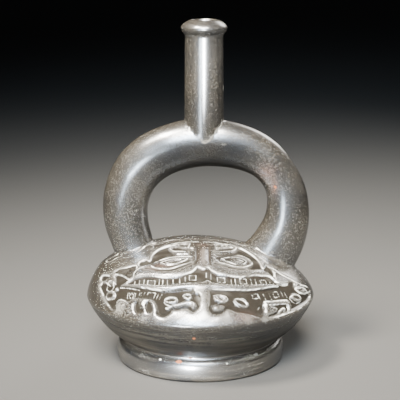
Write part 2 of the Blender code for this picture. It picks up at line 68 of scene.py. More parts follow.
# The carving on the chart, starting with the sunk fields round the figures.
FIELDS: dict[str, Line] = {
    "brow_field_left": (
        (-19.5, -4.5), (-24, -7), (-28, -11), (-31, -16), (-32.8, -21), (-33.2, -25.5),
        (-34.8, -26.6), (-37, -23.8), (-40.3, -24.3), (-42, -27.5), (-41, -30.2),
        (-36.5, -31), (-31.5, -30.7), (-27, -28.6), (-23.5, -26), (-17, -24.3),
        (-10, -25.2), (-9.5, -23.2), (-15.5, -22.6), (-19, -18.8), (-21.3, -14),
        (-21.6, -10), (-20.2, -7),
    ),
    "brow_field_right": (
        (25.3, -2.5), (25.8, -7), (24.5, -12), (21.5, -16.4), (16, -20.3), (9.8, -22.8),
        (9.8, -24.4), (14.5, -24), (20, -21.6), (25, -18.8), (30.5, -19.2), (34, -22),
        (36.2, -25.8), (35, -30), (32, -33.6), (34.5, -34.2), (38, -31.5), (41.5, -29.6),
        (46, -30), (49.5, -32.3), (51, -31), (50.6, -26.5), (48.5, -22.5), (46, -20.5),
        (44.8, -23), (43.6, -27), (41.8, -26), (40.6, -21), (38.6, -16), (35, -10.5),
        (31, -6), (28, -3),
    ),
    "brow_hollow_left": (
        (-17.2, -9), (-19, -11.5), (-18.4, -15), (-15.5, -16.8), (-10, -16.6), (-6, -16.4),
        (-5.6, -13.9), (-8.5, -13.9), (-12, -12.8), (-14.8, -10.2),
    ),
    "brow_hollow_right": (
        (19.6, -5.6), (22, -4.5), (22.3, -8), (20.5, -12), (17, -14.2), (12.3, -15.4),
        (12.2, -11.5), (15.5, -9.6),
    ),
    "loop_left": ((-14, -5.2), (-13, -8), (-10.5, -9.8), (-8.6, -8.5), (-8.4, -4.5),
                  (-11, -3.6)),
    "loop_right": ((10.8, -3.4), (14.5, -1.4), (16.6, -2.8), (14.8, -5.5), (11.5, -6.6)),
    "lip_band": (
        (-50, -44.8), (-46, -43.9), (-40, -44.3), (-35, -45.5), (-30, -47.2), (-25, -49.2),
        (-20, -50.2), (-15, -50.1), (-10, -48.5), (-5.5, -46.2), (-3, -43), (-1.6, -41),
        (1, -42.6), (3.6, -42.4), (5, -41), (6.5, -43.6), (9, -45.8), (12, -47.4),
        (16, -47.8), (20, -47.5), (25, -46.7), (30, -44.5), (35, -41.4), (38, -39.2),
        (42, -37.5), (45, -35.7), (48, -34.6), (52, -36.2), (54, -38), (52.4, -41),
        (46, -44.4), (38, -48.9), (30, -52.4), (22, -54.8), (12, -56), (7.5, -55.3),
        (4.7, -53.6), (1.5, -55.8), (-5, -56.5), (-12, -56.6), (-20, -56.9), (-27, -55.9),
        (-33, -54.1), (-39, -51.6), (-45, -49.3), (-50.5, -46.9),
    ),
    "side_field_left": (
        (-73.2, -29.3), (-70.5, -31), (-67.6, -35), (-65.5, -38.6), (-62.6, -40.9),
        (-60.3, -40), (-59.7, -36), (-60.6, -32.5), (-58, -32.5), (-55.5, -35), (-52, -39.3),
        (-49.8, -43), (-53, -44.5), (-57, -45.2), (-51, -48.3), (-46, -51.7), (-41, -54.6),
        (-36, -57.2), (-30, -60), (-25, -61.6), (-19, -62.6), (-12, -62.3), (-5.8, -62.3),
        (-5.2, -65), (-1.5, -66), (-0.3, -68), (-0.3, -72), (-1.2, -76), (-4.5, -78.9),
        (-7.6, -77.5), (-9.5, -76.4), (-15, -76.6), (-19.5, -76.6), (-21.5, -78.4),
        (-25.5, -79.7), (-29.3, -77.6), (-30.6, -74), (-30.8, -70), (-32.5, -67), (-35, -65),
        (-38.5, -63.4), (-43, -61.7), (-47, -60.3), (-51, -60.4), (-53.5, -58.5),
        (-56.5, -55.8), (-60, -54.8), (-61.3, -57.5), (-62.5, -59.8), (-64.5, -58.3),
        (-67.2, -53), (-69.5, -46.5), (-71.2, -40), (-72.8, -34),
    ),
    "side_field_right": (
        (7, -62.8), (10, -61.9), (15, -61.2), (20, -60.3), (25, -59.2), (30, -57.8),
        (35, -55.8), (40, -52.9), (45, -49.4), (50, -45.2), (54.5, -42), (55.5, -38.5),
        (57.5, -36.4), (60, -34.2), (62.6, -31), (64.5, -27), (66.5, -25.2), (67.6, -27.5),
        (67.4, -30.5), (69.5, -33), (74, -32.4), (78, -27.5), (81, -22.5), (83.4, -20.5),
        (83.4, -24), (81.6, -30.1), (79.4, -35.5), (75.5, -43), (71, -50.1), (68.1, -53.9),
        (67.3, -54.7), (67.4, -52.5), (66.4, -50.2), (64.8, -48.9), (62.3, -48.7),
        (59.3, -50.9), (54, -54.8), (49, -58.2), (45, -60.2), (44.8, -63.5), (45.4, -68),
        (44.6, -72), (41, -73.9), (36, -74.5), (30, -75.5), (25, -75.6), (17.8, -75.2),
        (16.2, -77.9), (13, -79.3), (9.5, -79.7), (7.4, -78), (6.8, -75), (6.8, -70),
        (6.8, -66),
    ),
    "wedge_left": ((-72.3, -23), (-71.6, -27), (-69.2, -29.6), (-66.8, -30.6), (-65.3, -29.3),
                   (-68, -26), (-70.5, -23.4)),
    "claw_left_inner": ((-38.6, -69), (-37.6, -66.6), (-35.8, -67), (-34.6, -69.6), (-34, -73),
                        (-35.8, -74.2), (-38, -73)),
    "claw_left_outer": ((-47.2, -68.6), (-47, -65.2), (-45.2, -63.8), (-43.8, -65.5),
                        (-43.3, -68.8), (-40.6, -71.2), (-43.5, -71.6), (-46.2, -70.8)),
    "claw_right": (
        (50.5, -61.8), (55, -58.8), (60, -55.2), (62.6, -53.8), (64.3, -55), (65.2, -57.5),
        (63.4, -59.4), (60.4, -62.6), (56.5, -66.1), (53, -68.9), (50, -71.2), (50.6, -69.2),
        (53.5, -66.8), (55.8, -63.9), (56, -61.4), (53, -61.6),
    ),
}

# Leaf shapes beside the face, cut less deep than the fields.
LEAVES: dict[str, Line] = {
    "leaf_left": ((-60.5, -30), (-57, -27.9), (-51, -28.9), (-44.4, -29.2), (-43.8, -33),
                  (-45.6, -38), (-47.3, -41.6), (-49, -41.6), (-52, -37.6), (-56, -33.2)),
    "leaf_right": ((52.2, -26), (57, -25.6), (63.3, -26), (62, -29.2), (59.2, -32.4),
                   (56.3, -34), (53, -34.2)),
}

# Figures left standing in the fields.
FIGURES: dict[str, Line] = {
    "jaw_left": ((-24.5, -74.3), (-21.5, -72.8), (-16, -72.4), (-12, -71.2), (-6, -70.9),
                 (-3, -72.2), (-2.2, -74.5), (-3.8, -76.8), (-5.8, -77), (-7, -75.3),
                 (-10, -74.7), (-16, -75), (-20.5, -75.2), (-23, -75.6)),
    "paw_right": ((8.2, -74.5), (8.6, -77.2), (10.5, -78.3), (13.5, -77.6), (15.8, -76),
                  (17, -73.6), (12, -72.8)),
    "hook_right": ((57.9, -66.7), (57.4, -64.7), (58, -62), (59.8, -58.4), (61.3, -56.9),
                   (62.9, -57.3), (63, -58.9), (61.2, -59.8), (59.9, -61.9), (58.9, -64.3)),
}

# Ovals left standing in the fields, as (middle x, middle y, long half, short half, turn), the
# turn in degrees.
OVAL_FIGURES: dict[str, Sequence[float]] = {
    "disc_left": (-65.7, -46.3, 5.0, 2.9, -43),
    "dot_left": (-60.0, -45.9, 1.7, 1.5, 0),
    "head_eye_left": (-20.2, -69.0, 5.0, 2.7, -8),
    "snout_left": (-8.6, -67.5, 3.4, 2.5, 0),
    "disc_right": (70.8, -39.6, 6.0, 3.7, 39),
    "head_eye_right": (28.6, -68.1, 5.6, 3.3, -6),
    "snout_right": (14.0, -68.0, 5.2, 3.3, 0),
}
# Ovals sunk in the figures or in the bare surface, as the same five values.
OVAL_HOLLOWS: dict[str, Sequence[float]] = {
    "disc_left": (-65.7, -46.3, 3.3, 1.2, -43),
    "upper_disc_left": (-65.1, -38.6, 2.2, 1.2, -50),
    "head_eye_left": (-20.2, -69.2, 3.3, 1.2, -8),
    "snout_left": (-8.6, -67.5, 1.7, 1.0, 0),
    "disc_right": (70.8, -39.6, 3.5, 1.5, 39),
    "upper_disc_right": (74.2, -25.6, 3.0, 1.2, 55),
    "head_eye_right": (28.6, -68.1, 3.9, 1.5, -6),
    "snout_right": (13.4, -67.8, 2.4, 1.2, 0),
    "pupil_left": (-17.8, -33.4, 5.1, 1.3, 13),
    "pupil_right": (22.6, -28.4, 6.2, 1.7, 20),
}

# The pupils stay burnished, and the other hollows have dark ground.
PUPILS = ("pupil_left", "pupil_right")
DARK_HOLLOWS = tuple(name for name in OVAL_HOLLOWS if name not in PUPILS)

# Grooves as (width, depth, centreline).
GROOVES: dict[str, tuple[float, float, Line]] = {
    "eye_left_under": (1.6, 0.9, ((-30, -32.8), (-26, -36.4), (-20, -38.6), (-14.5, -37.8),
                                  (-10, -35.8), (-7, -32.8))),
    "eye_left_over": (1.1, 0.7, ((-26.5, -30.6), (-18, -28.7), (-10, -29.5))),
    "cheek_left": (1.5, 0.6, ((-37.5, -35.5), (-33, -38.3), (-29, -41), (-24, -42.8),
                              (-19, -43.3), (-14, -41.7), (-10, -39.4), (-6, -37))),
    "eye_right_over": (1.5, 0.9, ((10.8, -28.6), (15, -25.5), (20.5, -22.9), (26.2, -21.6),
                                  (30.5, -23), (32.5, -25.8), (31.4, -29))),
    "eye_right_under": (1.5, 0.9, ((30, -31.4), (26, -33.8), (18, -33.8), (13, -32))),
    "cheek_right": (1.4, 0.35, ((9, -36), (15, -37), (20, -38.2), (25.5, -37.9), (30, -36))),
}

# Upright strokes of the two bands, as (x at top, y at top, x at foot, y at foot).
BAND_STROKES: Sequence[Sequence[float]] = (
    (-10.2, -49.8, -10.2, -54.4), (-14, -51, -14, -55.2), (-18.5, -51, -18.5, -55.6),
    (-22.3, -50.7, -22.4, -55.4), (-25.5, -50, -25.8, -54.8), (-27.8, -49.2, -28.3, -54.2),
    (-38.5, -46.2, -39.3, -50.8), (-42, -45.6, -42.6, -49.8), (-45.5, -45.4, -46, -48.4),
    (4, -45.5, 4, -50), (7, -46, 7.2, -51.5), (20.8, -48.2, 21.2, -53.4),
    (23.5, -47.9, 24.1, -53), (34.3, -43.6, 35.6, -49.2), (37.5, -42, 38.9, -48),
    (48.4, -38.4, 49.1, -44), (51.4, -38.6, 52, -43.1),
    (-40.9, -57.4, -42.2, -60.9), (-38.6, -58, -40.4, -61.2),
    (-31.0, -61, -33.4, -65.2), (-28.6, -62, -31, -66.2), (-26.2, -62.4, -28.6, -66.8),
    (43.9, -54.4, 46.3, -58.1), (48.5, -51.7, 51.1, -56), (57.4, -43, 60, -47.5),
    (60.6, -42.3, 63.6, -46.3), (40.0, -56, 42.8, -60.5), (-42.2, -57, -43.9, -60.8),
)
# Small frames of the two bands, as (middle x, middle y, half width, half height, rise of the
# level sides, lean of the upright ones), the last two in degrees.
BAND_FRAMES: Sequence[Sequence[float]] = (
    (-33.7, -50.9, 2.7, 2.1, -20, -8), (-5.2, -50.8, 2.2, 2.3, 0, 0), (14, -51.2, 2.5, 2.2, 2, 4),
    (29.3, -48.1, 2.4, 2.3, 20, 10), (43.9, -42.6, 2.3, 2.5, 29, 23),
    (-49.0, -56.6, 3.2, 1.9, -25, -16), (-49.0, -56.8, 1.7, 1.0, -25, -16),
    (-34.3, -61.7, 2.9, 2.0, -22, -25), (38.4, -58.6, 2.3, 1.9, 26, 20),
    (53.8, -49.1, 2.3, 2.3, 40, 31),
)

# Fine cut lines that hold a pale deposit, as (width, strength, line).
FINE_LINES: Sequence[tuple[float, float, Line]] = (
    (0.8, 1.0, ((-18.5, -3.4), (-12, -0.8), (-4, 0), (6, 0.4), (14, 0.4), (21, -0.6),
                (25.2, -1.8))),
    (0.7, 0.9, ((-15.5, -5.5), (-13.5, -9), (-11, -11.5), (-8, -12.2), (-7.6, -8), (-7.2, -3))),
    (0.7, 0.9, ((17, -0.5), (18, -3.5), (16.5, -6.5), (13, -8.5), (11, -9.5), (11, -14),
                (10, -17.5))),
    (0.8, 1.0, ((-60.2, -30.4), (-55.6, -34.5), (-52, -39), (-48.8, -43.2), (-45.9, -42.7),
                (-45.5, -38), (-44, -35.5), (-41, -34), (-38, -33))),
    (0.8, 0.9, ((-72.9, -29.1), (-70.1, -30.1), (-67.2, -34.6), (-65.2, -38.1))),
    (0.8, 1.0, ((-68.1, -3.5), (-64.7, -0.1), (-60, 0.5), (-56.4, 3.2), (-55.3, -1.4),
                (-55.8, -5.3), (-59.5, -7.2), (-63.2, -9.3), (-67, -6.7), (-68.1, -3.5))),
    (0.8, 0.9, ((52.2, -36.4), (54.8, -36.9), (58.5, -35.3), (62.4, -31), (65.3, -24.6))),
    (0.9, 1.0, ((47.8, -21.1), (52, -22.7), (56.4, -24.4), (60.9, -24.2), (64.9, -23.6),
                (68.2, -23.6), (72.6, -21.6), (79.8, -15.5))),
    (0.9, 0.9, ((68.6, -31.1), (71.2, -26.8), (74.5, -20.5), (79.8, -14.6), (83.9, -14.4),
                (78.4, -25.8), (73.3, -31.5), (70.5, -32.3))),
    (0.9, 0.8, ((-51, -60.7), (-48.2, -59.9), (-44.2, -61), (-39.3, -62.9), (-33.8, -66.8),
                (-32, -68.5), (-31, -72), (-32, -74.5), (-36, -76.5), (-41, -75.8))),
    (0.9, 0.8, ((-11.9, -67.4), (-11.5, -66), (-9.7, -65.4), (-6.4, -64.6), (-4.8, -65))),
    (0.9, 0.8, ((-10.6, -68.5), (-7.5, -69.2), (-3.6, -69.2), (-1.3, -70.2))),
    (0.8, 0.9, ((6, -64.4), (7.2, -67.3))),
    (0.8, 0.8, ((8.6, -66), (11.2, -65.4), (14.1, -65.7), (16.8, -66.1), (18.8, -66.9),
                 (18, -69.1), (16.2, -70.8), (14.3, -72.2), (11.7, -73.4), (7.3, -74.9))),
    (0.7, 0.7, ((10.8, -67.0), (14.2, -69.4))), (0.7, 0.7, ((13.2, -66.7), (16.4, -69))),
    (0.7, 0.7, ((12.6, -71.6), (16.8, -67.4))),
    (0.7, 0.6, ((27.3, -64.2), (29.3, -63.9), (31.4, -64.8), (33.1, -66.2), (34.2, -67.7),
                (34, -69.3))),
    (0.7, 0.5, ((22.6, -70.3), (24.3, -71.3), (26.4, -72.3))),
    (0.9, 0.9, ((41.4, -69.2), (41.8, -67.5), (42.9, -66.1), (45, -64.6), (45.6, -61.2))),
    (0.8, 0.9, ((-25.3, -69.8), (-23.5, -67.6), (-20, -66.4), (-17, -67.4), (-15.6, -70),
                (-17.5, -72.1), (-20.5, -72.5), (-23.5, -71.7), (-25.3, -69.8))),
    (0.8, 0.85, ((22.8, -68), (24.1, -66.4), (26, -65.9), (28.8, -66.1), (30.9, -66.9),
                (32.4, -68.3), (32.1, -69.9), (30.5, -71.7), (28.4, -71.9), (26.3, -71.2),
                (24.2, -69.9), (22.8, -68))),
    (0.8, 0.85, ((-69.3, -42.4), (-66.6, -42.0), (-63.2, -44.6), (-61.5, -48.2),
                 (-62.4, -50.6), (-65.2, -49.6), (-68.4, -46.6), (-69.3, -42.4))),
    (0.8, 0.85, ((65.3, -45.3), (66.1, -42.3), (68, -39.3), (71.2, -36.6), (73.9, -36.3),
                (75.5, -38), (74.4, -41), (72, -44.2), (69.2, -45.9), (65.3, -45.3))),
    (0.8, 0.8, ((68.7, -31.9), (70.9, -32.6), (73.1, -32.2), (75.9, -29.6), (79.1, -25.6),
                (80.3, -22.1), (78.6, -21.5), (76.1, -21.8), (73.7, -24.5), (71.2, -28.7),
                (68.7, -31.9))),
    (0.8, 0.85, ((-68.7, -38.2), (-67.0, -41.2), (-64.4, -42.4), (-62.2, -41.0),
                 (-61.6, -38.4), (-62.8, -36.2), (-65.4, -35.2), (-67.8, -36.2),
                 (-68.7, -38.2))),
    (0.8, 0.6, ((-65.9, -37), (-64.4, -39.2))),
    (0.9, 0.9, ((-57.3, -45.7), (-53.1, -48.2), (-49.6, -50.3), (-46.8, -52.2),
                (-42.6, -54.9))),
    (0.7, 0.5, ((-44.9, -65.3), (-43.4, -67.4), (-42.4, -69.8), (-42.2, -71.8))),
    (0.9, 0.8, ((57.5, -68.5), (57.3, -64.6), (58.9, -60.5), (60.3, -58.3), (61.8, -58.3),
                (62.5, -59.8))),
    (1.0, 0.45, ((-34, 1), (-18, 7), (0, 9), (16, 8), (32, 3))),
    (1.0, 0.4, ((-30, 11), (-12, 16), (8, 17), (26, 12))),
    (1.0, 0.35, ((-44, -8), (-38, 0), (-30, 6))),
    (1.0, 0.4, ((34, -4), (40, -10), (46, -17))),
    (0.8, 0.8, ((55.3, -38.1), (56.9, -37.3), (59, -35.8), (61.3, -33.6), (63.5, -30.5))),
    (1.0, 1.0, ((45.1, -61.4), (49.1, -59.3), (54.2, -55.8), (59.5, -52), (62.7, -49.8),
                (65, -50), (66.4, -51.7), (67.3, -54.8))),
    (0.8, 0.8, ((48.7, -62.3), (54.6, -58.7), (59.9, -54.8), (62.4, -53.3), (63.8, -54.4),
                (65, -56.3), (65.3, -59.2))),
    (1.0, 1.0, ((45.1, -61.4), (46.1, -63.6), (45.8, -66.5), (47.2, -69.7), (49.4, -71.1))),
    (0.9, 0.7, ((82.9, -31.7), (80.8, -36.6), (76.8, -44.2), (72.1, -51.3), (69.7, -54.6))),
    (0.9, 0.5, ((69.7, -54.6), (66.5, -58.3), (64.1, -60.8), (57.2, -67.3), (49.6, -73.8))),
)

# Creases cut and painted dark and matte as shade, holding no deposit, as (width, depth, line).
SHADE_CREASES: Sequence[tuple[float, float, Line]] = (
    (0.8, 0.4, ((-26.1, -62.1), (-19.8, -62.8), (-15.3, -62.5), (-12.5, -62.2), (-9.2, -62.5),
                (-6.4, -62.8), (-5, -63.4), (-3.9, -64.8))),
    (1.3, 0.5, ((-5.5, -66.0), (-4.9, -66.2))),
    (0.7, 0.4, ((-9.2, -67), (-7.2, -67.3), (-4.1, -67.2), (-2.2, -66.2), (-0.8, -67),
                (-0.2, -68))),
    (0.9, 0.5, ((-13.1, -66.9), (-12, -69), (-10.3, -70.3), (-7, -70.8), (-4.7, -71.4),
                (-2.7, -72.7), (-1.3, -75.1))),
    (1.4, 0.8, ((-19.3, -75.5), (-16.2, -76.3), (-13.3, -75.6), (-10.4, -75.2), (-7.5, -76.2),
                (-6.4, -77.4), (-5.2, -78.5), (-3.6, -77.5), (-1.9, -76), (-1.3, -75))),
    (1.2, 0.4, ((7, -63.9), (11.2, -63.2), (16, -62.4), (21.2, -61.4), (25.8, -60.4),
                (30.2, -59.3), (33.8, -57.9), (37.9, -55.5), (42, -53), (46.1, -50.4),
                (50.4, -46.8))),
    (0.8, 0.4, ((7.1, -75.3), (8.4, -74.9), (11.4, -73.9), (14.7, -72.7), (16.9, -71.5),
                (18.9, -70.4))),
    (1.6, 0.8, ((6.8, -75.9), (7.4, -78.2), (9.6, -79.6), (12.9, -79.3), (15.5, -77.9),
                (17.1, -76.3), (17.8, -75.2), (19.7, -74.1), (21.8, -74.4), (23.9, -75.3),
                (26.6, -75.4), (29.7, -74.9), (33.6, -74.5), (37.2, -74.3), (40.2, -74.3),
                (42.9, -74), (44.6, -72.6), (45.6, -70.4), (45.6, -67.8), (44.8, -65.9))),
    (1.5, 0.5, ((11.3, -70.9), (11.7, -71.3))),
    (1.6, 0.6, ((-30.6, -75.5), (-29.2, -77.6), (-26.4, -79), (-24, -78.4), (-22.4, -77.5))),
    (1.1, 0.5, ((-51, -62.2), (-47.7, -63), (-44.8, -64.3))),
    (1.3, 0.5, ((-70.5, -50.5), (-68.8, -53.6), (-66.8, -57), (-64.8, -59.4))),
    (1.5, 0.6, ((-2.2, -15), (-2.3, -24), (-2.2, -32), (-3.4, -38))),
    (1.5, 0.5, ((6.0, -14), (6.1, -24), (5.9, -32), (6.6, -38))),
)

# Worn spots without lines, where a pale film is laid as painted sheen and highlight, as (x, y,
# radius, film): a film of this strength is left there, or where it is negative, that share of
# the film goes too.
WORN_AND_SHEEN_SPOTS: Sequence[Sequence[float]] = (
    (1.0, -68.0, 5.0, 0.6), (0.8, -75.0, 5.5, 0.45), (0.8, -62.5, 4.0, 0.6),
    (-47.0, -69.5, 6.5, -0.75), (-38.0, -72.5, 6.5, -0.75), (-41.5, -77.0, 5.0, 0.4),
    (-5.8, -19.0, 2.6, 0.6), (9.8, -19.0, 2.6, 0.6), (2.0, -24.0, 3.0, 0.6),
    (2.0, -82.0, 8.0, 0.55), (-13.0, -81.0, 7.0, 0.45), (18.0, -80.5, 7.0, 0.5),
    (34.0, -79.0, 6.0, 0.5), (47.0, -74.5, 5.0, 0.5),
)

# Spots where the film and its painted sheen are taken off, with their lines left, as (x, y,
# radius, share taken off).
FILM_CLEARED_SPOTS: Sequence[Sequence[float]] = (
    (-21.5, -33.0, 6.0, 0.8), (-12.5, -32.0, 4.5, 0.7), (-29.0, -31.5, 4.0, 0.7),
    (20.0, -28.5, 6.0, 0.8), (28.0, -27.0, 4.5, 0.7), (13.0, -29.5, 4.5, 0.7),
    (-14.0, -23.0, 5.0, 0.6), (18.0, -19.0, 5.0, 0.6), (0.0, -10.0, 6.0, 0.5),
)

# Raised crests, as (height, half width, paleness, line); a paler one carries a line of deposit
# along its top that is also a painted highlight, and the paleness also lays painted sheen along it.
CRESTS: Sequence[tuple[float, float, float, Line]] = (
    (0.2, 1.7, 0.5, ((-5.6, -12), (-7.6, -20), (-8, -28), (-9, -34))),
    (0.2, 1.7, 0.5, ((9.6, -17), (9.6, -24), (9, -31), (10, -36))),
    (0.8, 2.4, 0.54, ((2.0, -17), (2.0, -24), (1.8, -30), (1.8, -33.5))),
    (0.8, 2.2, 0.16, ((-46, -52.6), (-40, -55), (-35, -56.9), (-30, -58.6), (-25, -59.8),
                      (-20, -60.4), (-12, -60.2), (-4, -60), (3, -60), (8, -58.9),
                      (13, -58.7), (20, -57.8), (26, -56.5), (32.5, -54.2), (39, -51),
                      (45.5, -47), (51, -43.2))),
    (0.2, 0.7, 0.5, ((-32, -58.0), (-25, -59.6), (-18, -60.1), (-8, -60), (3, -59.8),
                      (10, -58.9), (20, -57.8), (28, -55.9), (36, -52.6))),
    (0.6, 2.6, 0.30, ((-43, -39.9), (-38, -41.4), (-30, -44), (-22, -46.8), (-15, -46.8),
                      (-9, -44.3), (-5, -40.5), (-3, -36))),
    (0.4, 2.8, 0.30, ((6.8, -37), (7.8, -40), (11, -43.4), (17, -44.8), (25, -43.8),
                      (31, -41.2), (38, -36.4), (44, -33.4))),
    (0.4, 2.5, 0.35, ((-70, -23.5), (-65, -25.5), (-60, -27), (-55, -27.6), (-50, -28.2),
                      (-44, -28.2))),
    (0.4, 0.75, 0.85, ((-26.5, -33.5), (-22, -31.2), (-17, -30.3), (-12, -30.6), (-8.5, -31.8),
                      (-11.5, -34.6), (-17, -37), (-22.5, -36.2), (-26.5, -33.5))),
    (0.2, 0.6, 0.7, ((-31, -31), (-25.5, -29), (-18, -27.5), (-12, -27.8), (-6, -29))),
    (0.4, 0.8, 0.7, ((-33, -35.5), (-30, -38.5), (-25, -41), (-20, -42), (-15, -40.5),
                     (-10, -38), (-6, -36))),
    (0.4, 0.7, 0.85, ((14, -29.5), (18, -26.5), (22, -24.5), (26, -22.8), (29, -23.5),
                      (31, -25), (30.5, -27.5), (29, -30.5), (27, -33.2), (20, -32.2),
                      (14, -29.5))),
    (0.4, 0.6, 0.85, ((9.5, -25), (15, -22.6), (20, -20.3), (25, -19.2), (30, -19.8),
                      (33.2, -22), (35, -25.5), (34, -29), (31, -32.5), (27, -35), (22, -36.2),
                      (17, -35), (12, -34.0))),
    (0.3, 0.8, 0.75, ((-14.5, -6), (-17, -7.2), (-19.5, -8.7), (-20.5, -12), (-19.5, -15.5),
                     (-17.5, -18.8), (-14, -20.3), (-10, -20.6))),
    (0.3, 0.8, 0.75, ((22, -1), (24, -3), (24.4, -6), (23.4, -10), (21.7, -13.5), (18, -16.4),
                     (15, -17.9), (10, -19.8))),
    (0.5, 0.7, 0.8, ((-18.5, -73.9), (-15, -73.6), (-11.5, -73.2), (-9, -72.6), (-6, -72.4),
                     (-4.4, -73.6), (-4.2, -75.4))),
    (0.8, 1.7, 0.75, ((10.2, -76.5), (11.2, -76.3))),
    (0.3, 1.5, 0.8, ((46.6, -63.4), (46.4, -66.3), (47.3, -68.8), (49.2, -70.7))),
    (0.3, 1.4, 0.4, ((46.4, -61.8), (50.9, -59.6), (55.5, -57), (60.4, -53.2), (63.6, -52.2),
                     (65, -54.6), (65, -58))),
)

# The far side has only the broad forms, turned half a turn.
FAR_FIELDS = ("lip_band", "side_field_left", "side_field_right")
FAR_OVALS = ("disc_left", "disc_right", "head_eye_left", "head_eye_right")
FAR_GROOVES = ("eye_left_under", "eye_right_over", "cheek_left", "cheek_right")


class Side(Enum):
    """Which side of the dome a drawing lies on: its outlines are multiplied by the value."""

    CARVED = 1.0
    FAR = -1.0


class Join(Enum):
    """How a blank is put to a solid."""

    UNION = "UNION"
    DIFFERENCE = "DIFFERENCE"


def smooth_step(value: Array) -> Array:
    """Return 3v^2 - 2v^3 of the value held between 0 and 1."""
    held = np.clip(value, 0.0, 1.0)
    return held * held * (3.0 - 2.0 * held)


def bell(gap: Array, width: float) -> Array:
    """Return exp(-(gap / width)^2)."""
    return np.exp(-(gap / width) ** 2)


def round_spot(points: Array, x: float, y: float, radius: float) -> Array:
    """Return exp(-(distance from the middle / radius)^2) at each chart place."""
    return np.exp(-((points[:, 0] - x) ** 2 + (points[:, 1] - y) ** 2) / radius ** 2)


def spline(points: Line, steps: int, closed: bool) -> Array:
    """Carry a Catmull-Rom curve through the points.

    Each span between points b and c, with neighbours a and d, is
    (2b + (c-a)t + (2a-5b+4c-d)t^2 + (3b-a-3c+d)t^3) / 2 for t from 0 to 1.

    Args:
        points: Points to pass through.
        steps: Points worked out for each span.
        closed: Whether the last point leads back to the first.

    Returns:
        The curve's points, one a row.
    """
    knots = np.array(points, float)
    if closed:
        a, b, c, d = (np.roll(knots, shift, axis=0) for shift in (1, 0, -1, -2))
    else:
        ends = np.vstack([2 * knots[0] - knots[1], knots, 2 * knots[-1] - knots[-2]])
        a, b, c, d = ends[:-3], ends[1:-2], ends[2:-1], ends[3:]
    t = (np.arange(steps) / steps)[None, :, None]
    a, b, c, d = (part[:, None] for part in (a, b, c, d))
    curve = 0.5 * (2 * b + (c - a) * t + (2 * a - 5 * b + 4 * c - d) * t ** 2
                   + (3 * b - a - 3 * c + d) * t ** 3)
    curve = curve.reshape(-1, knots.shape[1])
    return curve if closed else np.vstack([curve, knots[-1]])


def smooth_outlines(outlines: Sequence[Line]) -> list[Array]:
    """Return the outlines as smooth closed curves."""
    return [spline(outline, OUTLINE_STEPS, closed=True) for outline in outlines]


def smooth_line(line: Line) -> Array:
    """Return an open line as a smooth curve."""
    return spline(line, LINE_STEPS, closed=False)


def oval(sizes: Sequence[float]) -> Array:
    """Draw an oval: (a cos t, b sin t) turned and moved to its middle.

    Args:
        sizes: Middle x and y, long half, short half, and turn in degrees.

    Returns:
        Its corners, one a row.
    """
    x, y, long_half, short_half, turn = sizes
    t = np.arange(OVAL_CORNERS) * 2 * math.pi / OVAL_CORNERS
    c, s = math.cos(math.radians(turn)), math.sin(math.radians(turn))
    u, v = long_half * np.cos(t), short_half * np.sin(t)
    return np.stack([x + c * u - s * v, y + s * u + c * v], axis=1)


def ribbon(width: float, line: Line) -> Array:
    """Draw a groove: its smoothed centreline moved half the width to each side, with a tip.

    Args:
        width: The groove's width.
        line: Its centreline.

    Returns:
        The outline's corners, one a row.
    """
    middle = smooth_line(line)
    along = np.gradient(middle, axis=0)
    along /= np.linalg.norm(along, axis=1)[:, None]
    side = np.stack([-along[:, 1], along[:, 0]], axis=1) * width / 2
    tip = along * width / 2
    return np.vstack([middle[:1] - tip[:1], middle - side, middle[-1:] + tip[-1:],
                      (middle + side)[::-1]])


def tilted_frame(sizes: Sequence[float]) -> Array:
    """Draw a small frame as a closed line: the corners of a parallelogram.

    With r the rise of the level sides and l the lean of the upright ones, a corner is
    middle +- half width (cos r, sin r) +- half height (-sin l, cos l).

    Args:
        sizes: Middle x and y, half width, half height, and rise and lean in degrees.

    Returns:
        The corners, one a row, the first again at the end.
    """
    x, y, half_width, half_height, rise, lean = sizes
    rise, lean = math.radians(rise), math.radians(lean)
    level = half_width * np.array((math.cos(rise), math.sin(rise)))
    upright = half_height * np.array((-math.sin(lean), math.cos(lean)))
    signs = np.array([(-1, -1), (1, -1), (1, 1), (-1, 1), (-1, -1)])
    return signs[:, :1] * level + signs[:, 1:] * upright + (x, y)


def waves(points: Array, wavelength: float, seed: int) -> Array:
    """Return a smooth wandering value, mostly between -1 and 1.

    It is 1.7 times the mean of six sine waves whose directions, wavelengths (0.6 to 1.6 of the
    middle one) and phases come from the seed.

    Args:
        points: Places, one a row, in two or three dimensions.
        wavelength: The middle wavelength.
        seed: Start of the random draws.

    Returns:
        One value for each place.
    """
    count = 6
    draw = np.random.default_rng(seed)
    ways = draw.normal(size=(count, points.shape[1]))
    ways /= np.linalg.norm(ways, axis=1)[:, None]
    lengths = wavelength * draw.uniform(0.6, 1.6, count)
    phases = draw.uniform(0.0, 2 * math.pi, count)
    turns = points @ (ways / lengths[:, None]).T * 2 * math.pi + phases
    return np.sin(turns).mean(axis=1) * 1.7


@dataclass(frozen=True)
class Wander:
    """An unevenness of handwork: a value that wanders about its middle."""

    middle: float
    swing: float
    wavelength: float
    seed: int

    def at(self, points: Array) -> Array:
        """Return middle + swing * waves at each place."""
        return self.middle + self.swing * waves(points, self.wavelength, self.seed)


def line_distance(points: Array, line: Array, reach: float) -> tuple[Array, Array]:
    """Measure from places to a broken line, each segment at its nearest point.

    Args:
        points: Chart places, one a row.
        line: The line's points, one a row.
        reach: Only places this near to the line's box are measured.

    Returns:
        The measured places' indices and their distances.
    """
    low, high = line.min(axis=0) - reach, line.max(axis=0) + reach
    near = np.nonzero(np.all((points >= low) & (points <= high), axis=1))[0]
    best = np.full(len(near), np.inf)
    place = points[near]
    for start, end in zip(line[:-1], line[1:]):
        span = end - start
        share = np.clip((place - start) @ span / max(float(span @ span), TINY), 0.0, 1.0)
        gap = place - start - share[:, None] * span
        best = np.minimum(best, np.hypot(gap[:, 0], gap[:, 1]))
    return near, best


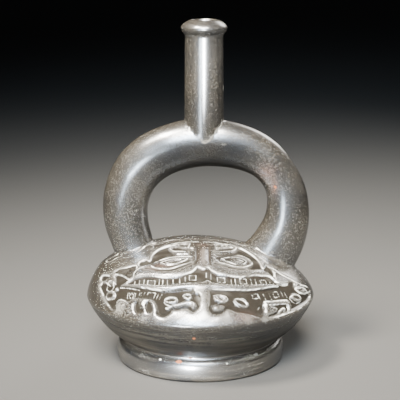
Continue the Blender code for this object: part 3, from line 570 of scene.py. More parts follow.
def signed_distance(points: Array, outline: Array, far: float) -> Array:
    """Measure from places to a closed outline, negative inside it.

    Whether a place is inside is counted by the outline's crossings of the ray to its right.

    Args:
        points: Chart places, one a row.
        outline: The outline's corners, one a row.
        far: Value for the places that are further away.

    Returns:
        One distance for each place.
    """
    loop = np.vstack([outline, outline[:1]])
    near, gap = line_distance(points, loop, far)
    place = points[near]
    crossings = np.zeros(len(near), int)
    for start, end in zip(loop[:-1], loop[1:]):
        if start[1] != end[1]:
            crosses = (start[1] > place[:, 1]) != (end[1] > place[:, 1])
            reach = start[0] + (place[:, 1] - start[1]) / (end[1] - start[1]) * (end[0] - start[0])
            crossings += crosses & (place[:, 0] < reach)
    result = np.full(len(points), far)
    result[near] = np.minimum(np.where(crossings % 2 == 1, -gap, gap), far)
    return result


@dataclass
class Marks:
    """What the surface carries at each vertex.

    The depth is in millimetres. The rest run from 0 to 1: pale rises to the middle of a line that
    holds a deposit, ground is rough dark ground and, in the creases, painted shade, and
    film is a thin pale film: dust over the top, and painted sheen beside the cuts,
    along the crests and in spots.
    """

    depth: Array
    pale: Array
    ground: Array
    film: Array

    @classmethod
    def blank(cls, count: int) -> "Marks":
        """Return marks of a bare surface."""
        return cls(*(np.zeros(count) for _ in range(4)))


@dataclass
class Drawing:
    """One side's carving, worked out on the chart."""

    side: Side
    # Depths of the cuts, the width of their slopes, and how far the surface beside them is worn.
    field_depth: float = 1.8
    hollow_depth: float = 1.2
    leaf_depth: float = 0.7
    line_depth: float = 0.3
    edge: float = 0.9
    shoulder_drop: float = 0.9
    shoulder_width: float = 2.0
    # How dark a leaf's floor is, and what is added to a groove's depth to make its floor dark.
    leaf_ground: float = 0.6
    groove_ground: float = 0.4
    # The pale rim line round each cut: its distance from the edge and half its width.
    rim_place: float = 0.35
    rim_width: float = 0.32
    rim_wander: Wander = Wander(0.75, 0.5, 17.0, 11)
    # Pale lines: their level at the edge, the slope's length, and half widths before wear.
    line_level: float = 0.75
    line_reach: float = 1.8
    line_half: float = 0.36
    crest_half: float = 0.33
    line_wear: Wander = Wander(0.8, 0.4, 7.0, 13)
    # Cut lines: the spread of their depth as a share of their width, and how far they are felt.
    line_spread: float = 0.6
    line_near: float = 2.5
    # The bands' strokes and frames, and how much thinner the deposit is in a line of no strength.
    stroke_width: float = 0.8
    stroke_strength: float = 0.52
    frame_strength: float = 0.52
    faintness: float = 0.45
    # A line stronger than the level stands alone: it clears the other lines for the width.
    lone_level: float = 0.55
    lone_width: float = 1.4
    # The painted sheen beside the cuts, the most of it that a crest takes, and the dust over the
    # top.
    edge_sheen_level: float = 0.62
    edge_sheen_width: float = 3.5
    crest_sheen: float = 0.6
    dust: float = 0.34
    dust_reach: float = 80.0
    dust_fade: float = 20.0
    dust_wander: Wander = Wander(0.7, 0.5, 9.0, 12)
    # Distances to the cuts are measured no further than this.
    far: float = 12.0

    def chosen(self, shapes: dict[str, Any], names: Sequence[str]) -> list[Any]:
        """Return all the shapes of the carved side, or the named ones of the far side."""
        return [shapes[name] for name in (shapes if self.side is Side.CARVED else names)]

    def nearest(self, points: Array, outlines: Sequence[Array]) -> Array:
        """Measure to the nearest of the outlines, turned to this side.

        Args:
            points: Chart places, one a row.
            outlines: Closed outlines.

        Returns:
            The smallest signed distance at each place.
        """
        best = np.full(len(points), self.far)
        for outline in outlines:
            turned = self.side.value * outline
            best = np.minimum(best, signed_distance(points, turned, self.far))
        return best

    def sunk(self, distance: Array) -> Array:
        """Return 0 outside a cut and 1 inside it, smooth across a slope one edge wide."""
        return smooth_step(0.5 - distance / self.edge)

    def tent(self, gap: Array, half: Array) -> Array:
        """Return line_level - (gap - half) / line_reach, held between 0 and 1."""
        return np.clip(self.line_level - (gap - half) / self.line_reach, 0.0, 1.0)

    def cut(self, points: Array) -> Marks:
        """Work out the carving at chart places.

        The ground is inside a field and outside every figure. The depth is the deepest of the
        ground, leaves, hollows and grooves; beside each cut the standing surface drops by
        shoulder_drop * exp(-distance / shoulder_width), and a pale film of painted sheen fades in
        the same way, with the dust over the top where that is stronger.

        Args:
            points: Chart places, one a row.

        Returns:
            The marks at each place.
        """
        fields = self.nearest(points, smooth_outlines(self.chosen(FIELDS, FAR_FIELDS)))
        islands = smooth_outlines(self.chosen(FIGURES, ()))
        islands += [oval(sizes) for sizes in self.chosen(OVAL_FIGURES, FAR_OVALS)]
        ground = np.maximum(fields, -self.nearest(points, islands))
        leaves = self.nearest(points, smooth_outlines(self.chosen(LEAVES, ())))
        hollows = self.nearest(points, [oval(sizes) for sizes in
                                        self.chosen(OVAL_HOLLOWS, PUPILS)])
        grooves = [(deep, self.nearest(points, [ribbon(width, line)])) for width, deep, line in
                   self.chosen(GROOVES, FAR_GROOVES)]
        depth = np.max([self.field_depth * self.sunk(ground), self.leaf_depth * self.sunk(leaves),
                        self.hollow_depth * self.sunk(hollows)]
                       + [deep * self.sunk(distance) for deep, distance in grooves], axis=0)
        open_cut = np.min([ground, leaves, hollows], axis=0)
        cut = np.min([open_cut] + [distance for _, distance in grooves], axis=0)
        beside = np.maximum(cut, 0)
        standing = 1 - self.sunk(cut)
        depth += self.shoulder_drop * np.exp(-beside / self.shoulder_width) * standing
        half = self.rim_width * self.rim_wander.at(points)
        pale = self.tent(np.abs(open_cut - self.rim_place), half)
        # A pale film beside the cuts, fading away from them, is painted sheen on the standing
        # forms.
        film = self.edge_sheen_level * np.exp(-beside / self.edge_sheen_width)
        dust = self.dust * smooth_step((self.dust_reach - np.hypot(*points.T)) / self.dust_fade)
        film = standing * np.maximum(film, dust * self.dust_wander.at(points))
        floor = np.maximum(self.sunk(ground), self.leaf_ground * self.sunk(leaves))
        if self.side is Side.CARVED:
            dark = self.nearest(points, [oval(OVAL_HOLLOWS[name]) for name in DARK_HOLLOWS])
            floor = np.maximum(floor, self.sunk(dark))
        for deep, distance in grooves:
            inside = self.sunk(distance)
            floor = np.maximum(floor, min(1.0, deep + self.groove_ground) * inside)
            pale *= 1 - inside
        marks = Marks(depth, pale, floor, film)
        if self.side is Side.CARVED:
            self.engrave(points, marks, standing)
        return marks

    def engrave(self, points: Array, marks: Marks, standing: Array) -> None:
        """Add the fine lines and the crests, wear them and paint sheen on them, and cut the creases
        with their painted shade.

        Args:
            points: Chart places, one a row.
            marks: Marks to add to.
            standing: 1 where the surface isn't cut.
        """
        wear = self.line_wear.at(points)
        lines = self.scratch(points, marks, wear)
        crests = self.raise_crests(points, marks, wear, standing)
        marks.pale[:] = np.max([marks.pale, lines, crests], axis=0)
        self.rub_and_paint_sheen(points, marks)
        self.cut_shade_creases(points, marks)

    def scratch(self, points: Array, marks: Marks, wear: Array) -> Array:
        """Cut the fine lines and the bands' strokes and frames.

        A line sinks as line_depth * exp(-(gap / (line_spread * width))^2).

        Args:
            points: Chart places, one a row.
            marks: Marks to add to.
            wear: Share of its width that a line keeps at each place.

        Returns:
            The lines' own paleness at each place.
        """
        lines = [(width, strength, smooth_line(line)) for width, strength, line in FINE_LINES]
        lines += [(self.stroke_width, self.stroke_strength, np.array(stroke).reshape(2, 2))
                  for stroke in BAND_STROKES]
        lines += [(self.stroke_width, self.frame_strength, tilted_frame(sizes))
                  for sizes in BAND_FRAMES]
        pale = np.zeros(len(points))
        for width, strength, line in lines:
            near, gap = line_distance(points, line, self.line_near)
            marks.depth[near] += self.line_depth * bell(gap, self.line_spread * width)
            if strength > self.lone_level:
                marks.pale[near] *= 1 - bell(gap, self.lone_width)
            half = self.line_half * width * (1.0 - self.faintness * (1.0 - strength)) * wear[near]
            pale[near] = np.maximum(pale[near], self.tent(gap, half))
        return pale

    def raise_crests(self, points: Array, marks: Marks, wear: Array, standing: Array) -> Array:
        """Raise the crests, each as height * exp(-(gap / half width)^2).

        Args:
            points: Chart places, one a row.
            marks: Marks to add to.
            wear: Share of its width that a line keeps at each place.
            standing: 1 where the surface isn't cut.

        Returns:
            The paleness of the lines on the stronger crests, at each place.
        """
        pale = np.zeros(len(points))
        for height, half_width, paleness, line in CRESTS:
            reach = max(self.line_near, 3.0 * half_width)
            near, gap = line_distance(points, smooth_line(line), reach)
            shape = bell(gap, half_width) * standing[near]
            marks.depth[near] -= height * shape
            if paleness > self.lone_level:
                marks.pale[near] *= 1 - bell(gap, self.lone_width)
                lit = self.tent(gap, self.crest_half * wear[near]) * standing[near]
                pale[near] = np.maximum(pale[near], lit)
            # Painted sheen along the crest, as strong as its paleness but no more than crest_sheen.
            marks.film[near] = np.maximum(marks.film[near], min(paleness, self.crest_sheen) * shape)
        return pale

    def rub_and_paint_sheen(self, points: Array, marks: Marks) -> None:
        """Rub out the lines in the worn spots, lay or take off film and painted sheen there, and
        take film off in the cleared spots.

        Args:
            points: Chart places, one a row.
            marks: Marks to wear.
        """
        for x, y, radius, film in WORN_AND_SHEEN_SPOTS:
            shape = round_spot(points, x, y, radius)
            marks.pale *= 1 - shape
            marks.film[:] = np.maximum(marks.film * (1 + min(film, 0.0) * shape), film * shape)
        for x, y, radius, cleared in FILM_CLEARED_SPOTS:
            marks.film *= 1 - cleared * round_spot(points, x, y, radius)

    def cut_shade_creases(self, points: Array, marks: Marks) -> None:
        """Cut the creases, each sinking as depth * exp(-(gap / (line_spread * width))^2), and paint
        them dark and matte as shade.

        Args:
            points: Chart places, one a row.
            marks: Marks to add to.
        """
        for width, deep, line in SHADE_CREASES:
            near, gap = line_distance(points, smooth_line(line), self.line_near)
            shape = bell(gap, self.line_spread * width)
            marks.depth[near] += deep * shape
            marks.pale[near] *= 1 - shape
            marks.film[near] *= 1 - shape
            # The ground mark here is painted shade: the crease is dark and has no gloss.
            marks.ground[near] = np.maximum(marks.ground[near], shape)


@dataclass(frozen=True)
class DomeForm:
    """The chamber's upper surface, and the chart of it."""

    radius: float = 77.4
    rise: float = 35.4
    rim_height: float = 44.7
    round_out: float = 2.318
    round_up: float = 1.373
    lean: float = 2.5
    lean_fade: float = 8.0
    swell_left: float = 4.9
    swell_right: float = 1.5
    swell_place: float = 0.888
    swell_width: float = 0.184
    swell_fade: float = 24.0
    table_rows: int = 2000
    least_radius: float = 0.01

    def height(self, radius: Array) -> Array:
        """Return rim height + rise * (1 - (r/R)^a)^(1/b)."""
        share = np.clip(radius / self.radius, 0.0, 1.0)
        return self.rim_height + self.rise * (1 - share ** self.round_out) ** (1 / self.round_up)

    def table(self) -> tuple[Array, Array, Array]:
        """Tabulate the dome's curve from its apex to its rim.

        The length is the sum of the straight spans between rows close together.

        Returns:
            Radii, the lengths along the dome to them, and its slope there.
        """
        radii = self.radius * np.sin(np.linspace(0.0, math.pi / 2, self.table_rows))
        height = self.height(radii)
        spans = np.hypot(np.diff(radii), np.diff(height))
        length = np.concatenate([[0.0], np.cumsum(spans)])
        return radii, length, np.gradient(height, length)

    def unevenness(self, x: Array, radius: Array) -> Array:
        """Return how far the hand-made dome stands over its turned form.

        A lean of -lean * x/R, and on each side a swell of (|x|/r)^3 times a bell over r/R; both
        fade out at the rim.

        Args:
            x: Distance to the right.
            radius: Plan radius.

        Returns:
            The added height.
        """
        share = np.clip(radius / self.radius, 0.0, 1.0)
        lean = -self.lean * x / self.radius * (1 - share ** self.lean_fade)
        sideways = np.abs(x) / np.maximum(radius, self.least_radius)
        swell = np.where(x < 0, self.swell_left, self.swell_right) * sideways ** 3
        swell *= bell(share - self.swell_place, self.swell_width)
        return lean + swell * (1 - share ** self.swell_fade)

    def place(self, length: Array, bearing: Array, lift: Array) -> Array:
        """Put chart places on the dome.

        The radius r is read from the length, and the place is (r cos b, r sin b, height) moved by
        the lift along the slope's normal.

        Args:
            length: Distance along the dome from its apex.
            bearing: Direction in radians.
            lift: Distance over the surface.

        Returns:
            Places in space, one a row.
        """
        radii, lengths, slopes = self.table()
        radius = np.interp(length, lengths, radii)
        fall = np.clip(-np.interp(length, lengths, slopes), 0.0, 1.0)
        spread = radius + lift * fall
        x, y = spread * np.cos(bearing), spread * np.sin(bearing)
        z = self.height(radius) + self.unevenness(x, radius) + lift * np.sqrt(1 - fall ** 2)
        return np.stack([x, y, z], axis=1)


def grid_faces(rows: int, columns: int) -> list[Face]:
    """Join a grid of rows by columns into quads, round each row.

    Vertex (i, j) is number i * columns + j, and a quad is (i, j), (i+1, j), (i+1, j+1), (i, j+1).

    Args:
        rows: Number of rows.
        columns: Number of columns.

    Returns:
        The quads.
    """
    i, j = np.meshgrid(np.arange(rows - 1), np.arange(columns), indexing="ij")
    k = (j + 1) % columns
    quads = np.stack([i * columns + j, (i + 1) * columns + j, (i + 1) * columns + k,
                      i * columns + k], axis=-1)
    return quads.reshape(-1, 4).tolist()


def capped_faces(rows: int, columns: int, fan: bool) -> list[Face]:
    """Join a grid into quads and close its first and last rows.

    Args:
        rows: Number of rows.
        columns: Number of columns.
        fan: Close with triangles to the two vertices after the grid, not with one face each.

    Returns:
        The faces.
    """
    faces = grid_faces(rows, columns)
    first, last = np.arange(columns), (rows - 1) * columns + np.arange(columns)
    if not fan:
        return faces + [tuple(first.tolist()), tuple(last[::-1].tolist())]
    top, foot = rows * columns, rows * columns + 1
    over = np.stack([np.full(columns, top), first, np.roll(first, -1)], axis=1)
    under = np.stack([np.full(columns, foot), np.roll(last, -1), last], axis=1)
    return faces + over.tolist() + under.tolist()


def write_mark(mesh: bpy.types.Mesh, label: str, values: Array) -> None:
    """Write one value a vertex to a new attribute of the mesh."""
    layer = mesh.attributes.new(label, "FLOAT", "POINT")
    layer.data.foreach_set("value", values.astype(np.float32))


def mesh_piece(name: str, verts: Array, faces: list[Face],
               marks: Optional[Marks] = None) -> bpy.types.Object:
    """Make an object of places in millimetres, with its marks as vertex attributes.

    The attribute "made" is 1 at every vertex here, and 0 at those that a Boolean adds later.

    Args:
        name: The object's name.
        verts: Places, one a row.
        faces: Vertex numbers of each face.
        marks: What the vertices carry, or nothing for a bare surface.

    Returns:
        The object, linked to the scene.
    """
    mesh = bpy.data.meshes.new(name)
    mesh.from_pydata((verts * MM).tolist(), [], faces)
    marks = marks or Marks.blank(len(verts))
    for label in ("pale", "ground", "film"):
        write_mark(mesh, label, getattr(marks, label))
    write_mark(mesh, "made", np.ones(len(verts)))
    item = bpy.data.objects.new(name, mesh)
    bpy.context.scene.collection.objects.link(item)
    return item


def turned(name: str, profile: Line, steps: int,
           centre: tuple[float, float] = (0.0, 0.0)) -> bpy.types.Object:
    """Turn a profile round an upright axis: (r cos a, r sin a, z) for each of its points.

    Args:
        name: The object's name.
        profile: (radius, height) points from top to bottom; the ends lie on the axis.
        steps: Columns round the axis.
        centre: The axis's place.

    Returns:
        The closed piece.
    """
    line = np.array(profile, float)
    angle = np.arange(steps) * 2 * math.pi / steps
    rings = line[1:-1]
    x = rings[:, :1] * np.cos(angle) + centre[0]
    y = rings[:, :1] * np.sin(angle) + centre[1]
    z = np.broadcast_to(rings[:, 1:], x.shape)
    verts = np.stack([x, y, z], axis=-1).reshape(-1, 3)
    ends = [(centre[0], centre[1], line[0, 1]), (centre[0], centre[1], line[-1, 1])]
    return mesh_piece(name, np.vstack([verts, ends]), capped_faces(len(rings), steps, fan=True))


@dataclass
class Stirrup:
    """The hollow handle: a flattened tube along an arch."""

    setback: float = 10.0
    flattening: float = 0.825
    wall: float = 4.6
    sides: int = 56
    bore_sides: int = 20
    steps: int = 9
    dents: Wander = Wander(0.0, 0.22, 26.0, 5)
    # The arch's middle line as (x, z, radius).
    stations: Sequence[Triple] = (
        (-39.5, 57.0, 13.2), (-46.5, 77.0, 14.1), (-50.5, 91.7, 14.9), (-50.7, 107.8, 15.5),
        (-44.8, 123.8, 16.2), (-33.3, 135.9, 16.5), (-16.4, 143.7, 16.5), (2.4, 146.6, 16.3),
        (22.6, 144.7, 15.4), (41.2, 137.1, 14.0), (52.8, 125.1, 12.9), (58.9, 110.4, 13.7),
        (59.0, 92.5, 15.4), (52.5, 75.1, 17.5), (40.5, 58.0, 19.8),
    )

    def path(self, thinner: float) -> Array:
        """Smooth the stations into the arch's middle line.

        Args:
            thinner: How much less than the outer radius.

        Returns:
            Rows of x, z and radius.
        """
        path = spline(self.stations, self.steps, closed=False)
        path[:, 2] -= thinner
        return path

    def tube(self, name: str, thinner: float, sides: int,
             dents: Optional[Wander] = None) -> bpy.types.Object:
        """Carry an oval ring along the arch.

        With t the arch's direction in the XZ plane and n = (-t_z, t_x) across it, a ring's points
        are centre + r cos a * n + flattening * r sin a * Y, with r roughened by the dents.

        Args:
            name: The object's name.
            thinner: How much less than the outer radius.
            sides: Points round the ring.
            dents: The hand-made unevenness.

        Returns:
            The closed tube.
        """
        path = self.path(thinner)
        along = np.gradient(path[:, :2], axis=0)
        along /= np.linalg.norm(along, axis=1)[:, None]
        angle = np.arange(sides) * 2 * math.pi / sides
        ring = np.cos(angle)
        x = path[:, :1] - along[:, 1:] * path[:, 2:] * ring
        z = path[:, 1:2] + along[:, :1] * path[:, 2:] * ring
        y = self.setback + self.flattening * path[:, 2:] * np.sin(angle)
        verts = np.stack([x, y, z], axis=-1)
        if dents:
            middle = np.stack([path[:, 0], np.full(len(path), self.setback), path[:, 1]], axis=1)
            out = verts - middle[:, None]
            lumps = dents.at(verts.reshape(-1, 3)).reshape(len(path), sides)
            verts = verts + out / path[:, None, 2:] * lumps[..., None]
        return mesh_piece(name, verts.reshape(-1, 3), capped_faces(len(path), sides, fan=False))

    def blank(self) -> bpy.types.Object:
        """Return the solid tube."""
        return self.tube("stirrup_blank", 0.0, self.sides, self.dents)

    def bore(self) -> bpy.types.Object:
        """Return the channel through it."""
        return self.tube("stirrup_bore", self.wall, self.bore_sides)


@dataclass
class Spout:
    """The upright pipe and its rolled lip."""

    centre: tuple[float, float] = (2.5, 10.0)
    foot: float = 146.0
    flare: float = 0.15
    flare_height: float = 9.0
    top: float = 229.0
    radius: float = 13.4
    top_radius: float = 12.7
    lip_height: float = 11.5
    lip_steps: int = 3
    shaft_rows: int = 14
    sides: int = 64
    bore_foot: float = 148.0
    bore_radius: float = 7.6
    bore_sides: int = 40
    bore_over: float = 5.0
    mouth_inset: float = 0.4
    # The lip's outside as (radius, drop from the top), and the mouth's rounding as (how much wider
    # than the bore, drop from the top).
    lip_face: Line = (
        (9.0, 0.05), (10.4, 0.45), (12.0, 1.3), (13.6, 2.4), (14.8, 3.7), (15.4, 5.0),
        (15.25, 6.4), (14.4, 7.8), (13.3, 9.2), (12.75, 10.4),
    )
    mouth_face: Line = ((0.7, 0.3), (0.2, 0.8), (0.0, 1.6))

    def blank(self) -> bpy.types.Object:
        """Turn the solid pipe with its lip from a (radius, height) profile.

        The lip is a smooth curve, and the shaft a straight taper down to a slight flare.

        Returns:
            The closed piece.
        """
        lip = [(radius, self.top - drop) for radius, drop in self.lip_face]
        lip = spline(lip, self.lip_steps, closed=False)
        shaft = np.linspace(0.0, 1.0, self.shaft_rows)[:, None]
        high = np.array([(self.top_radius, self.top - self.lip_height)])
        low = np.array([(self.radius, self.foot + self.flare_height)])
        profile = np.vstack([[(0.0, self.top)], [(self.bore_radius + self.mouth_inset, self.top)],
                             lip, high + (low - high) * shaft,
                             [(self.radius + self.flare, self.foot)], [(0.0, self.foot)]])
        return turned("spout_blank", profile, self.sides, self.centre)

    def bore(self) -> bpy.types.Object:
        """Turn the channel with its rounded mouth, from above the top down to its foot.

        Returns:
            The closed piece.
        """
        above, bore = self.top + self.bore_over, self.bore_radius
        mouth = [(bore + wider, self.top - drop) for wider, drop in self.mouth_face]
        profile = [(0.0, above), (mouth[0][0], above), *mouth, (bore, self.bore_foot),
                   (0.0, self.bore_foot)]
        return turned("spout_bore", profile, self.bore_sides, self.centre)


@dataclass
class Chamber:
    """The carved round body on its ring foot."""

    dome: DomeForm = field(default_factory=DomeForm)
    wall: float = 5.0
    rim_rounding: float = 1.0
    rim_turn: float = 2.6
    # The first row under the rim, as how far it is inside the rim and below it.
    rim_face: tuple[float, float] = (0.25, 1.1)
    waist: tuple[float, float] = (52.0, 15.4)
    wall_bulge: float = 3.9
    wall_rows: int = 11
    foot_radius: float = 57.2
    foot_edge: float = 55.2
    foot_height: float = 14.2
    # The foot's outside as (inset, share of the foot's height).
    foot_face: Line = (
        (2.4, 1.0), (1.5, 0.95), (0.8, 0.87), (0.25, 0.74), (0.0, 0.58), (0.0, 0.25),
        (0.25, 0.13), (0.8, 0.056),
    )
    foot_inner: float = 45.5
    recess_slope: float = 2.5
    recess: float = 6.5
    base_wall: float = 6.0
    # The hollow's rows over its roof and down its side, its sides, and its floor's rounded edge.
    roof_rows: int = 12
    side_rows: int = 6
    hollow_sides: int = 56
    floor_edge: float = 5.0
    floor_dish: float = 1.0
    # The fillet round the stirrup's feet: its radius, and the least gap as a share of it. It is
    # worked out within the reach of the stirrup's plane, further out to the side than the inner
    # distance, and to the part of the stirrup under the top.
    fillet: float = 3.2
    fillet_least: float = 0.3
    feet_reach: float = 30.0
    feet_inner: float = 15.0
    feet_top: float = 95.0
    # The grid's columns as (from, to, count) in degrees, and its rows in millimetres.
    columns: Sequence[tuple[float, float, int]] = ((-184.0, 4.0, 430), (4.0, 176.0, 140))
    first_rows: tuple[float, float] = (2.0, 4.5)
    rows: Sequence[tuple[float, float, int]] = ((7.0, 20.0, 15), (20.0, 84.0, 106))
    last_rows: int = 9
    dents: Wander = Wander(0.0, 0.12, 21.0, 2)
    small_dents: Wander = Wander(0.0, 0.05, 6.0, 3)
    rim_fade: float = 3.0
    carved: Drawing = field(default_factory=lambda: Drawing(Side.CARVED))
    far: Drawing = field(default_factory=lambda: Drawing(Side.FAR, edge=1.9, rim_width=0.1,
                                                         dust=0.25))

    def bearings(self) -> Array:
        """Return the grid's columns: close together on the carved side, wider behind."""
        return np.radians(np.concatenate([np.linspace(*turn, endpoint=False)
                                          for turn in self.columns]))

    def lengths(self) -> Array:
        """Space the grid's rows over the dome, close together where it is carved.

        Returns:
            Their distances from the apex.
        """
        spans = [np.linspace(*span, endpoint=False) for span in self.rows]
        last = np.linspace(self.rows[-1][1], self.dome.table()[1][-1], self.last_rows)
        return np.concatenate([self.first_rows, *spans, last])

    def under_curve(self, start: tuple[float, float], end: tuple[float, float],
                    steps: int) -> Array:
        """Draw a profile curve that bulges outwards and down.

        It is (1-t)^2 start + 2t(1-t) pull + t^2 end, the pull being the middle moved by the bulge.

        Args:
            start: Its first (radius, height).
            end: Its last.
            steps: Spans along it.

        Returns:
            Points, one a row.
        """
        pull = ((start[0] + end[0]) / 2 + self.wall_bulge,
                (start[1] + end[1]) / 2 - self.wall_bulge)
        t = np.linspace(0.0, 1.0, steps + 1)[:, None]
        return (1 - t) ** 2 * np.array(start) + 2 * t * (1 - t) * np.array(pull) \
            + t ** 2 * np.array(end)

    def under_profile(self) -> Array:
        """Draw the profile under the rim: the lower wall, the ring foot and the recess.

        Returns:
            (radius, height) points down to the recess's edge.
        """
        turn_in = (self.dome.radius - self.rim_rounding,
                   self.dome.rim_height - self.rim_turn * self.rim_rounding)
        inset, drop = self.rim_face
        rim = [(self.dome.radius - inset, self.dome.rim_height - drop)]
        wall = self.under_curve(turn_in, self.waist, self.wall_rows)
        foot = [(self.foot_radius - inset, share * self.foot_height)
                for inset, share in self.foot_face]
        base = [(self.foot_edge, 0.0), (self.foot_inner, 0.0),
                (self.foot_inner - self.recess_slope, self.recess)]
        return np.vstack([rim, wall, foot, base])

    def shape(self, stirrup: Stirrup) -> bpy.types.Object:
        """Build the solid chamber: the dome's rows, then the profile's rows turned below them.

        Only the carved side's relief is cut; the far side's pattern is in the marks alone.

        Args:
            stirrup: The handle, round whose feet the clay is smoothed up.

        Returns:
            The closed piece.
        """
        bearing, length = self.bearings(), self.lengths()
        lengths, bearings = (part.ravel() for part in np.meshgrid(length, bearing, indexing="ij"))
        chart = np.stack([lengths * np.cos(bearings), lengths * np.sin(bearings)], axis=1)
        sides = [self.carved.cut(chart), self.far.cut(chart)]
        depth = sides[0].depth + (self.dents.at(chart) + self.small_dents.at(chart))
        inside = smooth_step((self.dome.table()[1][-1] - lengths) / self.rim_fade)
        dome = self.dome.place(lengths, bearings, -depth * inside)
        dome[:, 2] += self.rise_to(dome, stirrup)
        under = self.under_profile()
        x = under[:, :1] * np.cos(bearing)
        y = under[:, :1] * np.sin(bearing)
        z = np.broadcast_to(under[:, 1:], x.shape)
        low = np.stack([x, y, z], axis=-1).reshape(-1, 3)
        apex = self.dome.place(np.zeros(1), np.zeros(1), np.zeros(1))
        verts = np.vstack([dome, low, apex, [(0.0, 0.0, self.recess)]])
        # The dome has the stronger of both sides' marks; below the rim and at the poles are none.
        bare = np.zeros(len(low) + 2)
        kinds = ((mark.pale, mark.ground, mark.film) for mark in sides)
        marks = Marks(np.zeros(len(verts)), *(np.concatenate([np.maximum(*pair), bare])
                                              for pair in zip(*kinds)))
        rows = len(length) + len(under)
        return mesh_piece("carved_vessel", verts, capped_faces(rows, len(bearing), True), marks)

    def rise_to(self, places: Array, stirrup: Stirrup) -> Array:
        """Work out how far the dome rises to meet the stirrup, as a round fillet.

        At a gap d from the tube, closer than the fillet's radius k, it is
        k - sqrt(k^2 - (k - d)^2), with d held at its least.

        Args:
            places: Places on the dome.
            stirrup: The handle.

        Returns:
            The rise at each place.
        """
        near = np.nonzero((np.abs(places[:, 1] - stirrup.setback) < self.feet_reach)
                          & (np.abs(places[:, 0]) > self.feet_inner))[0]
        path = stirrup.path(0.0)
        path = path[path[:, 1] < self.feet_top]
        place = places[near]
        gap = np.full(len(near), np.inf)
        for x, z, radius in path:
            away = np.stack([place[:, 0] - x, (place[:, 1] - stirrup.setback) / stirrup.flattening,
                             place[:, 2] - z], axis=1)
            gap = np.minimum(gap, np.linalg.norm(away, axis=1) - radius)
        k = self.fillet
        held = np.clip(gap, self.fillet_least * k, k)
        rise = np.zeros(len(places))
        rise[near] = k - np.sqrt(k * k - (k - held) ** 2)
        return rise

    def hollow(self) -> bpy.types.Object:
        """Turn the chamber's empty inside, a wall's thickness in from the outer profile.

        Returns:
            The closed piece.
        """
        inner = DomeForm(radius=self.dome.radius - self.wall, rise=self.dome.rise - self.wall)
        radii = inner.radius * np.sin(np.linspace(0.0, math.pi / 2, self.roof_rows))
        roof = np.stack([radii, inner.height(radii)], axis=1)
        floor = self.recess + self.base_wall
        waist = (self.waist[0] - self.wall, floor + self.floor_edge)
        side = self.under_curve(tuple(roof[-1]), waist, self.side_rows)[1:]
        foot = [(waist[0] - self.floor_edge, floor + self.floor_dish), (0.0, floor)]
        return turned("chamber_hollow", np.vstack([roof, side, foot]), self.hollow_sides)


class Wire:
    """A shader value that takes part in Python arithmetic."""

    def __init__(self, sheet: "Sheet", socket: bpy.types.NodeSocket) -> None:
        """Wrap a socket of a material's sheet."""
        self.sheet = sheet
        self.socket = socket

    def math(self, operation: str, *others: Any, clamp: bool = False) -> "Wire":
        """Return the result of a Math node on this value and the others."""
        return self.sheet.node("ShaderNodeMath", 0, {"operation": operation, "use_clamp": clamp},
                               self, *others)

    def __add__(self, other: Any) -> "Wire":
        """Return self + other."""
        return self.math("ADD", other)

    __radd__ = __add__

    def __mul__(self, other: Any) -> "Wire":
        """Return self * other."""
        return self.math("MULTIPLY", other)

    __rmul__ = __mul__

    def __sub__(self, other: Any) -> "Wire":
        """Return self - other."""
        return self.math("SUBTRACT", other)

    def __rsub__(self, other: Any) -> "Wire":
        """Return other - self."""
        return self.sheet.node("ShaderNodeMath", 0, {"operation": "SUBTRACT"}, other, self)

    def held(self) -> "Wire":
        """Return the value held between 0 and 1."""
        return self.math("ADD", 0.0, clamp=True)

    def over(self, low: float, high: float) -> "Wire":
        """Return 0 at low, 1 at high and a smooth step between; low may be the larger."""
        return self.sheet.node("ShaderNodeMapRange", 0, {"interpolation_type": "SMOOTHSTEP"},
                               self, low, high, 0.0, 1.0)

    def most(self, other: Any) -> "Wire":
        """Return the larger of the two values."""
        return self.math("MAXIMUM", other)


Feed = Union[Wire, float, Sequence[float]]


def blend(share: Wire, first: Wire, second: Wire) -> Wire:
    """Return the first value turning into the second: a + (b - a) * share."""
    return first + (second - first) * share


